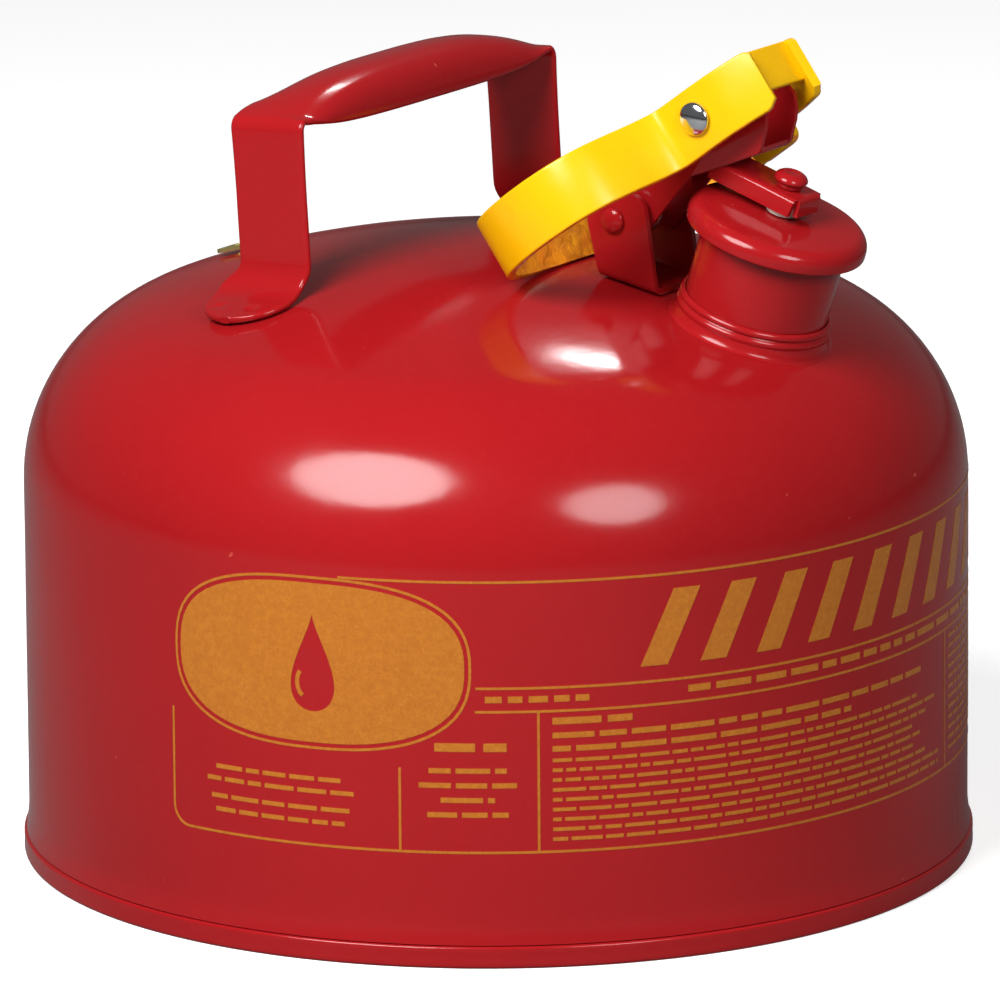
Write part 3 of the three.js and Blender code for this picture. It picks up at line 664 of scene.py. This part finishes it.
def rivet(shank, head, half_grip, dome):
    """A shank along its axis with a smooth domed head at each end."""
    half = [(shank, half_grip), (head - 0.15, half_grip), (head, half_grip + 0.15),
            (head, half_grip + dome * 0.25)]
    half += [(head * math.cos(a), half_grip + dome * (0.25 + 0.75 * math.sin(a)))
             for a in [math.radians(90) * i / 9 for i in range(1, 9)]]
    half.append((0, half_grip + dome))
    lower = [(radius, -height) for radius, height in half][::-1]
    return turned(lower + half, SMALL)


def washer(bore, outer, half):
    edge = min(0.25, half / 2)
    corners = [(bore, -half, edge), (outer, -half, edge), (outer, half, edge), (bore, half, edge)]
    return turned(rounded(corners, 3), SMALL)


def coil_point(t):
    """The spring's wire: a leg on the bracket, five turns round the hinge and a leg under the arm."""
    leg_share = 0.12
    on_coil = min(1.0, max(0.0, (t - leg_share) / (1 - 2 * leg_share)))
    angle = math.radians(150) + 2 * math.pi * COIL_TURNS * on_coil
    before = max(0.0, leg_share - t) / leg_share
    after = max(0.0, t - 1 + leg_share) / leg_share
    tangent = after * 9 - before * 11
    return Vector((PIVOT[0] + COIL_RADIUS * math.cos(angle) - tangent * math.sin(angle),
                   COIL_PITCH * COIL_TURNS * (on_coil - 0.5),
                   PIVOT[1] + COIL_RADIUS * math.sin(angle) + tangent * math.cos(angle)))


def spring():
    """The closing spring, as one fixed piece that belongs to no body."""
    steps = 420
    sides = 12
    wire = 0.8
    sections = []
    for i in range(steps + 1):
        here = coil_point(i / steps)
        ahead = coil_point(min(1, (i + 0.5) / steps)) - coil_point(max(0, (i - 0.5) / steps))
        side = ahead.cross(Vector((0, 1, 0))).normalized()
        up = side.cross(ahead).normalized()
        angles = [2 * math.pi * k / sides for k in range(sides)]
        sections.append([here + (side * math.cos(a) + up * math.sin(a)) * wire for a in angles])
    coil = dressed(solid("closing_spring", lofted(sections)), ZINC, None, ["lid_spring"], 60)
    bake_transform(coil)


def mechanism():
    """The hinge's bracket, arm, pin, bush and washers, and the rivet and spacers of the ring."""
    bracket = softened(from_node("lid_bracket", "hinge_bracket"), 0.5, 3)
    dressed(bracket, RED, "can", ["lid_bracket"])
    arm = softened(from_node("lid_arm", "lid_arm_sheet"), 0.35, 2)
    dressed(arm, RED, "arm", ["lid_arm"])
    pin = rivet(PIN_RADIUS, PIN_HEAD, BRACKET_HALF + GAP, 2.1)
    dressed(solid("hinge_pin", pin, across(PIVOT)), RED, "can", ["lid_pivot_pin"], 50)
    bush = washer(PIN_RADIUS + GAP, 4.2, 6.6)
    dressed(solid("hinge_bush", bush, across(PIVOT)), ZINC, "can", ["lid_pivot_bush"])
    through = rivet(RIVET_SHANK, RIVET_HEAD, RING_CHEEK + GAP + 0.2, 2.4)
    dressed(solid("ring_rivet", through, across(RIVET)), CHROME, "arm", ["trigger_rivet"], 50)
    low = CHEEK_OUTER + GAP
    spaces = (("hinge_washer", "pivot_washer", "can", PIVOT, PIN_RADIUS, 6, BRACKET_HALF - BRACKET_SHEET),
              ("ring_spacer", "trigger_spacer", "arm", RIVET, RIVET_SHANK, 4.4, RING_CHEEK - RING_WALL))
    for where, side in (("near", -1), ("far", 1)):
        for name, node, body, centre, shank, outer, wall in spaces:
            high = wall - GAP
            shape = washer(shank + GAP, outer, (high - low) / 2)
            piece = solid(f"{name}_{where}", shape, across(centre, side * (low + high) / 2))
            dressed(piece, NYLON, body, [f"{node}_{where}"])


# ----------------------------------------
# Trigger ring

# Half of the ring's outer line from above, from the nose to the middle of the tail
PLAN = [(0, -RING_NOSE_HALF), (-6, -15.2), (-13, -17.6), (-21, -18.7), (-29, -18.9), (-35, -20),
        (-39, -26), (-42.5, -35), (-47, -44), (-54, -50), (-63, -52.8), (-73, -53), (-82, -51),
        (-90, -46.5), (-95.5, -39.5), (-98, -30), (-98.8, -15), (-99, 0)]
RING_CHEEK = 18.7        # half width of the ring where the rivet goes through it


def spline(points, t):
    """A point of the smooth curve through the given points, and its direction; t runs from 0 to 1."""
    place = t * (len(points) - 1)
    i = min(int(place), len(points) - 2)
    f = place - i
    before, start, end, after = [Vector(points[max(0, min(len(points) - 1, i + k))]) for k in (-1, 0, 1, 2)]
    enter = (end - before) * 0.5
    leave = (after - start) * 0.5
    here = (start * (2 * f ** 3 - 3 * f ** 2 + 1) + enter * (f ** 3 - 2 * f ** 2 + f)
            + end * (3 * f ** 2 - 2 * f ** 3) + leave * (f ** 3 - f ** 2))
    along = (start * (6 * f ** 2 - 6 * f) + enter * (3 * f ** 2 - 4 * f + 1)
             + end * (6 * f - 6 * f ** 2) + leave * (3 * f ** 2 - 2 * f))
    return here, along.normalized()


def clear_of_dome(point):
    """The ring's tail is hollowed where it would meet the dome."""
    for _ in range(40):
        place = RING @ point
        if place.z > dome_height(math.hypot(place.x, place.y)) + 0.6:
            break
        point = point + Vector((0, 0, 0.1))
    return point


def ring_section(here, along):
    """The band's rounded rectangle at one place of the plan: outer face, edges and wavy inner face."""
    inwards = Vector((along.y, -along.x))
    foot, head = 0.0, RING_DEPTH
    if here.x > -2.5:
        foot = (here.x + 2.5) * 2.6 / 3
        head = RING_DEPTH - (3 - math.sqrt(max(0, 9 - (here.x + 2.5) ** 2)))
    corners = [(0, foot), (RING_WALL, foot), (RING_WALL, head), (0, head)]
    outline = rounded([(*corner, RING_EDGE) for corner in corners], 4)
    outline = outline[:10] + [outline[9].lerp(outline[10], k / 9) for k in range(1, 9)] + outline[10:]
    section = []
    for inset, w in outline:
        flat = here + inwards * inset
        point = Vector((flat.x, flat.y, w))
        if inset > RING_WALL - 0.1 and here.x < -8:
            wave = 0.28 * noise.noise(point / 5) + 0.15 * noise.noise(point / 2.2)
            point -= Vector((inwards.x, inwards.y, 0)) * (0.2 + wave)
        section.append(clear_of_dome(point))
    return section


def trigger_ring():
    steps = 120
    half = [spline(PLAN, i / steps) for i in range(steps + 1)]
    half[-1] = (half[-1][0], Vector((0, 1)))
    other = [(Vector((p.x, -p.y)), Vector((-d.x, d.y))) for p, d in half[:-1]][::-1]
    sections = [ring_section(p, d) for p, d in half + other]
    band = solid("ring_band", lofted(sections), RING)
    inside_nose = RING_NOSE_HALF - RING_WALL
    back = -RING_RECESS - CROSS_WALL
    wall = extruded(rounded([(back, 6, 0.6), (-RING_RECESS, 6, 0.6), (-RING_RECESS, RING_DEPTH, 0.6),
                             (back, RING_DEPTH, 0.6)], 3), -inside_nose - 3.4, inside_nose + 3.4)
    upright = Matrix.Rotation(math.radians(90), 4, "X")
    combined(band, solid("cross_wall", wall, RING @ upright), "UNION")
    lug = extruded(rounded([(-38, 2, 0), (-36, -6.3, 3), (-19.5, -6.3, 4), (-19.5, 2, 0)]), -1.2, 1.2)
    beside = Matrix.Translation((0, RING_CHEEK - RING_WALL / 2, 0)) @ upright
    combined(band, solid("lug", lug, RING @ beside), "UNION")
    bore = RIVET_SHANK + GAP
    hole = turned([(0, -30), (bore, -30), (bore, 30), (0, 30)], SMALL)
    combined(band, solid("hole", hole, across(RIVET)), "DIFFERENCE")
    dressed(band, YELLOW, "trigger", ["trigger_ring"], 38)
    # The tail's inner walls and the underside take the darker copy of the yellow: painted shade
    band.data.materials.append(YELLOW_PAINTED_SHADE)
    to_plan = RING.inverted()
    for face in band.data.polygons:
        middle = to_plan @ (Vector(face.center) / MM)
        normal = to_plan.to_3x3() @ face.normal
        rear = Vector((-68 - middle.x, -middle.y, 0))
        if middle.x < -30 and abs(normal.z) < 0.6 and normal.dot(rear) > 0:
            face.material_index = 1
        if middle.x < -8 and normal.z < -0.6:
            face.material_index = 1


# ----------------------------------------
# Carrying handle: a strap from foot to foot, rolled into a grip along its top

def flat_across(half):
    """The line across the strap's width, as (c, rise, turn) for s from -1 to 1; turn is its tilt."""
    return lambda s: (half * s, 0.0, 0.0)


def rolled_across(half, depth, fold):
    """The same line with both edges rolled down by depth along part of a superellipse."""
    power = 2 / GRIP_SQUARENESS
    reach = half / math.sin(fold) ** power
    height = depth / (1 - max(0, math.cos(fold)) ** power)

    def at(s):
        out = math.sin(abs(s) * fold) ** power
        up = max(0, math.cos(s * fold)) ** power
        turn = math.atan2(out ** (GRIP_SQUARENESS - 1) / reach, up ** (GRIP_SQUARENESS - 1) / height)
        sign = math.copysign(1, s)
        return sign * reach * out, height * (up - 1), sign * turn

    return at


def grip_rise(distance):
    return GRIP_RISE * (1 - (1 - distance / LEG_HALF) ** GRIP_FULLNESS)


def grip_across(distance):
    """The grip's section at a distance from the corner; its rear edge rolls later than its front edge."""
    lip = GRIP_LIP * (1 - math.exp(-distance / 11))
    full_depth = grip_rise(distance) + lip
    front_roll = 1 - math.exp(-((distance / 5) ** 1.2))
    rear_roll = 1 - math.exp(-((distance / 22) ** 1.6))
    front_depth = full_depth * (1 - math.exp(-distance / 2.5))
    front = rolled_across(GRIP_HALF, front_depth, math.radians(90) * front_roll)
    rear = rolled_across(GRIP_HALF, full_depth * rear_roll, math.radians(90) * rear_roll)
    return lambda s: rear(s) if s < 0 else front(s)


def bend_point(start, middle, end, t):
    """A point of a bend between two straights, and its direction."""
    place = start * (1 - t) ** 2 + middle * 2 * t * (1 - t) + end * t ** 2
    along = (middle - start) * (1 - t) + (end - middle) * t
    return place, along.normalized()


def handle_stations():
    """(place, direction, line across, shift) from the end of a foot to the middle of the grip."""
    bend = 9.0
    seat = 76.0
    clearance = 0.9
    slope = math.tan(math.asin(seat / CROWN_RADIUS))
    dome_drop = dome_height(math.hypot(seat, HANDLE_OFFSET)) - dome_height(-HANDLE_OFFSET)
    low = dome_drop + STRAP / 2 + clearance
    foot = [Vector((a, low - (a - seat) * slope)) for a in (FOOT_END, LEG_HALF + bend, LEG_HALF)]
    stations = []
    for i in range(29):
        t = (i / 28) ** 1.6
        place = foot[0].lerp(foot[1], t)
        from_end = min(FOOT_END - place.x, FOOT_HALF)
        width = math.sqrt(max(0, FOOT_HALF ** 2 - (FOOT_HALF - from_end) ** 2))
        stations.append((place, (foot[1] - foot[0]).normalized(), flat_across(max(2.0, width)), FOOT_SHIFT))
    knee = Vector((LEG_HALF, foot[2].y + bend))
    for i in range(1, 11):
        place, along = bend_point(foot[1], foot[2], knee, i / 10)
        up_leg = min(1, max(0, (place.y - foot[2].y) / (0.8 * bend)))
        up_leg = up_leg ** 2 * (3 - 2 * up_leg)
        width = FOOT_HALF + (STRAP_HALF - FOOT_HALF) * up_leg
        stations.append((place, along, flat_across(width), FOOT_SHIFT * (1 - up_leg)))
    corner = 2.4
    top = Vector((LEG_HALF, LEG_TOP))
    under = Vector((LEG_HALF, LEG_TOP - corner))
    for i in range(1, 10):
        place = knee.lerp(under, i / 10)
        widen = max(0, (i - 5) / 5) ** 2
        width = STRAP_HALF + (CORNER_HALF - STRAP_HALF) * widen
        stations.append((place, Vector((0, 1)), flat_across(width), 0))
    over = top + Vector((-1, GRIP_FULLNESS * GRIP_RISE / LEG_HALF)).normalized() * corner
    for i in range(8):
        place, along = bend_point(under, top, over, i / 8)
        stations.append((place, along, flat_across(CORNER_HALF), 0))
    for i in range(31):
        distance = 2.6 + (LEG_HALF - 2.6) * (i / 30) ** 1.8
        ahead = grip_rise(min(LEG_HALF, distance + 0.5)) - grip_rise(distance - 0.5)
        along = Vector((-1, ahead if i < 30 else 0)).normalized()
        place = Vector((LEG_HALF - distance, LEG_TOP + grip_rise(distance)))
        stations.append((place, along, grip_across(distance), 0))
    return stations


def strap_section(station, side):
    """A closed section of the strap with round edges; spot welds dimple the feet."""
    place, along, across_at, shift = station
    outward = Vector((along.y, -along.x))
    steps = 26
    thick = STRAP / 2
    half_turn = [math.radians(180) * k / 5 for k in range(1, 5)]
    rows = [(2 * i / steps - 1, thick, 0.0) for i in range(steps + 1)]
    rows += [(1.0, thick * math.cos(a), thick * math.sin(a)) for a in half_turn]
    rows += [(1 - 2 * i / steps, -thick, 0.0) for i in range(steps + 1)]
    rows += [(-1.0, -thick * math.cos(a), -thick * math.sin(a)) for a in half_turn]
    section = []
    for s, offset, beyond in rows:
        c, rise, turn = across_at(s)
        inset = thick * abs(s) ** 3 * math.copysign(1, s)
        x = c + side * shift + offset * math.sin(turn) + (beyond - inset) * math.cos(turn)
        out = rise + offset * math.cos(turn) - (beyond - inset) * math.sin(turn)
        if offset == thick and place.x > LEG_HALF + 6 and place.y < LEG_TOP / 2:
            for weld in WELDS:
                away = math.hypot(c - weld, place.x - WELD_LINE)
                out -= 0.45 * math.exp(-(away / 1.9) ** 2) - 0.12 * math.exp(-((away - 3.2) / 0.9) ** 2)
        point = Vector((x, side * (place.x + outward.x * out), place.y + outward.y * out))
        stray = 0.06 * noise.noise(point / 9)
        section.append(point + Vector((0, side * outward.x, outward.y)) * stray)
    return section


def handle():
    half = handle_stations()
    near = [strap_section(station, -1) for station in half]
    far = [strap_section(station, 1) for station in half[:-1]][::-1]
    shape = lofted(near + far)
    dressed(solid("handle_strap", shape, HANDLE), RED, "can", ["carry_handle"], 60)


def grounding_tab():
    tab = softened(from_node("ground_tab", "grounding_tab"), 0.3)
    dressed(tab, PASSIVATED, "can", ["ground_tab"])


# ----------------------------------------
# Printed panel on the wall: turns are degrees about Z, heights are millimetres

PRINT_LIFT = 0.1
PRINT_LEFT = -97.0
PRINT_RIGHT = 52.0
LINE = 0.75

print_points = []
print_faces = []


def on_wall(turn, height, lift):
    angle = math.radians(turn)
    flat = Vector((WALL_RADIUS * math.cos(angle), WALL_RADIUS * math.sin(angle), height))
    outwards = Vector((math.cos(angle), math.sin(angle), 0))
    return flat + outwards * (ripple(flat) + lift)


def patch(rows, closed=False):
    """Adds one closed patch of ink; rows are lists of (turn, height), closed where each row is a loop."""
    count = len(rows[0])
    first = len(print_points)
    for lift in (0.02, PRINT_LIFT):
        for row in rows:
            print_points.extend(on_wall(turn, height, lift) for turn, height in row)
    layer = len(rows) * count
    columns = count if closed else count - 1

    def corner(row, column, upper):
        return first + upper * layer + row * count + column % count

    def side_face(start, end):
        print_faces.append([corner(*start, 0), corner(*end, 0), corner(*end, 1), corner(*start, 1)])

    for r in range(len(rows) - 1):
        for c in range(columns):
            for upper in (0, 1):
                quad = [corner(r, c, upper), corner(r, c + 1, upper)]
                quad += [corner(r + 1, c + 1, upper), corner(r + 1, c, upper)]
                print_faces.append(quad if upper else quad[::-1])
    for r in (0, len(rows) - 1):
        for c in range(columns):
            side_face((r, c), (r, c + 1))
    if not closed:
        for c in (0, count - 1):
            for r in range(len(rows) - 1):
                side_face((r, c), (r + 1, c))


def bar(left, right, low, high, lean=0.0):
    """A bar between two turns and two heights; lean moves its top along the wall, in degrees."""
    columns = max(1, math.ceil((right - left) / 1.5))
    turns = [left + (right - left) * i / columns for i in range(columns + 1)]
    rows = max(1, math.ceil(abs(lean) / 1.5))
    patch([[(turn + lean * r / rows, low + (high - low) * r / rows) for turn in turns]
           for r in range(rows + 1)])


def dashes(left, right, low, high, spread, dice):
    """A row of dashes as long as words, standing for a line of small print."""
    turn = left
    thin = 0.18 * (high - low)
    while turn < right - 0.5:
        end = min(right, turn + dice.uniform(*spread))
        bar(turn, end, low + thin, high - thin)
        turn = end + (high - low) * 0.24


def stroke(path, width):
    """A line of even width along (turn, height) points."""
    scale = math.radians(1) * WALL_RADIUS
    flat = [Vector((turn * scale, height)) for turn, height in path]
    inner = []
    outer = []
    for i, here in enumerate(flat):
        along = (flat[min(i + 1, len(flat) - 1)] - flat[max(i - 1, 0)]).normalized()
        side = Vector((-along.y, along.x)) * width / 2
        inner.append(((here.x - side.x) / scale, here.y - side.y))
        outer.append(((here.x + side.x) / scale, here.y + side.y))
    patch([inner, outer])


def badge():
    """A gold panel between an oval and a box, framed by a line, with an open drop and a glint in it."""
    centre = (-77.3, 89.3)
    squareness = 2.6
    scale = math.radians(1) * WALL_RADIUS
    count = 96

    def box_at(angle, half_width, half_height):
        c, s = math.cos(angle), math.sin(angle)
        reach = (abs(c / half_width) ** squareness + abs(s / half_height) ** squareness) ** (-1 / squareness)
        return Vector((reach * c, reach * s))

    def drop_at(angle):
        turn = angle - math.radians(90)
        width = 10.2 * math.sin(turn) * abs(math.sin(turn / 2)) ** 1.8
        return Vector((-width, 14.5 * math.cos(turn)))

    def ring_of(shape_at, *sizes):
        angles = [2 * math.pi * i / count for i in range(count)]
        return [shape_at(angle, *sizes) for angle in angles]

    def to_wall(loop):
        return [(centre[0] + point.x / scale, centre[1] + point.y) for point in loop]

    frame_outer = ring_of(box_at, 47.4, 25.8)
    frame_inner = ring_of(box_at, 46.6, 25.0)
    panel = ring_of(box_at, 45.4, 23.8)
    drop = ring_of(drop_at)
    patch([to_wall(frame_outer), to_wall(frame_inner)], closed=True)
    rows = [[outer.lerp(inner, k / 12) for outer, inner in zip(panel, drop)] for k in range(13)]
    patch([to_wall(row) for row in rows], closed=True)
    glint = [Vector((-2.2 - 2.6 * math.cos(a), -6 - 4.2 * math.sin(a))) for a in
             [math.radians(-50 + 12 * i) for i in range(11)]]
    stroke(to_wall(glint), 1.3)


def label():
    """The panel: ruled lines, the badge, slanted bars and lines of dashes, with no lettering."""
    dice = random.Random(4)
    top, upper, lower, bottom = 115.8, 84.2, 77.2, 34.7
    corner = [(PRINT_LEFT + 2.4 - 2.4 * math.cos(a), bottom + 6 - 6 * math.sin(a))
              for a in [math.radians(9 * i) for i in range(11)]]
    edge = [(PRINT_LEFT, 70 - 2 * i) for i in range(15)]
    foot_steps = math.ceil((PRINT_RIGHT - PRINT_LEFT) / 1.5) - 1
    foot = [(PRINT_LEFT + 2.4 + i * 1.5, bottom) for i in range(1, foot_steps)]
    stroke(edge + corner + foot, LINE)
    badge()
    bar(-74, PRINT_RIGHT, top - LINE, top)
    bar(-57.6, PRINT_RIGHT, upper - LINE, upper)
    bar(-57.7, PRINT_RIGHT, lower - LINE, lower)
    for turn, high in ((-66.8, 59.8), (-50.4, lower), (14.4, lower)):
        bar(turn, turn + 0.3, bottom, high)
    for i in range(11):
        left = -38 + 7.6 * i
        bar(left, left + 3.4, 88.5, 111, 4.2)
    dashes(-56.5, -44, 79, 82.0, (1.5, 3.5), dice)
    dashes(-32, 44, 79, 82.2, (1.5, 5), dice)
    for low, inset in ((53.5, 3.5), (49.8, 2.2), (44.6, 2.8), (40.6, 3.4)):
        dashes(-94 + inset, -70 - inset, low, low + 2.1, (1.6, 4), dice)
    dashes(-62.5, -54, 64.2, 68.2, (4, 5), dice)
    for low, inset in ((58, 1.6), (53.6, 0.4), (49.2, 3), (44.8, 1.4)):
        dashes(-64.8 + inset, -52.4 - inset, low, low + 2.4, (2.5, 5), dice)
    dashes(-48.6, -39, 72.2, 75.4, (5, 8), dice)
    dashes(-48.6, 8, 68.2, 70.8, (2, 6), dice)
    dashes(-48.6, -8, 64.2, 66.8, (2, 6), dice)
    for lines, left, right, first, pitch in ((9, -48.6, 12.8, 61.2, 2.95), (12, 16, 49, 73.0, 3.1)):
        for i in range(lines):
            low = first - pitch * i
            dashes(left, right - dice.uniform(0, 9), low, low + 1.7, (1.0, 4.2), dice)
    panel = solid("printed_panel", (print_points, print_faces))
    dressed(panel, GOLD, "can", [])


# ----------------------------------------
# Studio

def studio():
    """A floor and background that only the camera sees as white, so that they don't wash out the enamel."""
    reach = 4000
    corners = [(-reach, -reach, 0), (reach, -reach, 0), (reach, reach, 0), (-reach, reach, 0)]
    floor = solid("studio_floor", (corners, [(0, 1, 2, 3)]))
    paper = Finish("floor_paper", 0.9)
    shown = paper.ramp(paper.noise(3, 3), [(0.3, grey(0.79)), (0.7, grey(0.81))])
    bounced = paper.ramp(paper.noise(3, 3), [(0.3, grey(0.19)), (0.7, grey(0.21))])
    seen = paper.nodes.new("ShaderNodeLightPath").outputs["Is Camera Ray"]
    paper.colour(paper.over(bounced, shown, seen))
    glow = paper.nodes.new("ShaderNodeMath")
    glow.operation = "MULTIPLY"
    glow.inputs[1].default_value = FLOOR_GLOW
    paper.links.new(seen, glow.inputs[0])
    paper.links.new(glow.outputs["Value"], paper.shader.inputs["Emission Strength"])
    floor.data.materials.append(paper.material)
    world = bpy.data.worlds.new("studio")
    bpy.context.scene.world = world
    world.use_nodes = True
    nodes, links = world.node_tree.nodes, world.node_tree.links
    room = nodes["Background"]
    room.inputs["Color"].default_value = (1, 1, 1, 1)
    room.inputs["Strength"].default_value = ROOM_STRENGTH
    backdrop = nodes.new("ShaderNodeBackground")
    backdrop.inputs["Color"].default_value = (*grey(BACKDROP_SEEN), 1)
    seen = nodes.new("ShaderNodeLightPath")
    mix = nodes.new("ShaderNodeMixShader")
    links.new(seen.outputs["Is Camera Ray"], mix.inputs["Fac"])
    links.new(room.outputs["Background"], mix.inputs[1])
    links.new(backdrop.outputs["Background"], mix.inputs[2])
    links.new(mix.outputs["Shader"], nodes["World Output"].inputs["Surface"])


def soft_light(name, azimuth, elevation, distance, size, radiance):
    """An oval soft light that looks at the middle of the can."""
    target = Vector((0, 0, 0.13))
    lamp = bpy.data.lights.new(name, "AREA")
    lamp.shape = "ELLIPSE"
    lamp.size, lamp.size_y = size
    lamp.energy = radiance * math.pi * (math.pi / 4) * size[0] * size[1]
    light = bpy.data.objects.new(name, lamp)
    bpy.context.scene.collection.objects.link(light)
    turn, rise = math.radians(azimuth), math.radians(elevation)
    direction = Vector((math.cos(turn) * math.cos(rise), math.sin(turn) * math.cos(rise), math.sin(rise)))
    light.location = target + direction * distance
    light.rotation_euler = direction.to_track_quat("Z", "Y").to_euler()


def camera():
    forward = Vector(VIEW_ALONG).normalized()
    level = forward.cross(Vector((0, 0, 1))).normalized()
    upright = level.cross(forward)
    right = level * math.cos(VIEW_ROLL) + upright * math.sin(VIEW_ROLL)
    up = upright * math.cos(VIEW_ROLL) - level * math.sin(VIEW_ROLL)
    lens = bpy.data.cameras.new("camera")
    lens.sensor_width = 36
    lens.lens = VIEW_LENS
    lens.clip_end = 50
    viewer = bpy.data.objects.new("camera", lens)
    place = Matrix((right, up, -forward)).transposed().to_4x4()
    place.translation = Vector(VIEW_FROM)
    viewer.matrix_world = place
    bpy.context.scene.collection.objects.link(viewer)
    bpy.context.scene.camera = viewer


can_shell()
base()
neck()
collar()
arrester()
cap()
swivel_rivet()
mechanism()
spring()
trigger_ring()
handle()
grounding_tab()
label()

studio()
soft_light("key", -91.5, 42, 1.6, (1.0, 0.85), 18)
soft_light("second", -25, 28, 1.6, (0.62, 0.6), 12.5)
soft_light("back", 109, 49.5, 1.5, (0.36, 0.045), 75)
camera()
bpy.context.scene.view_settings.view_transform = "Standard"
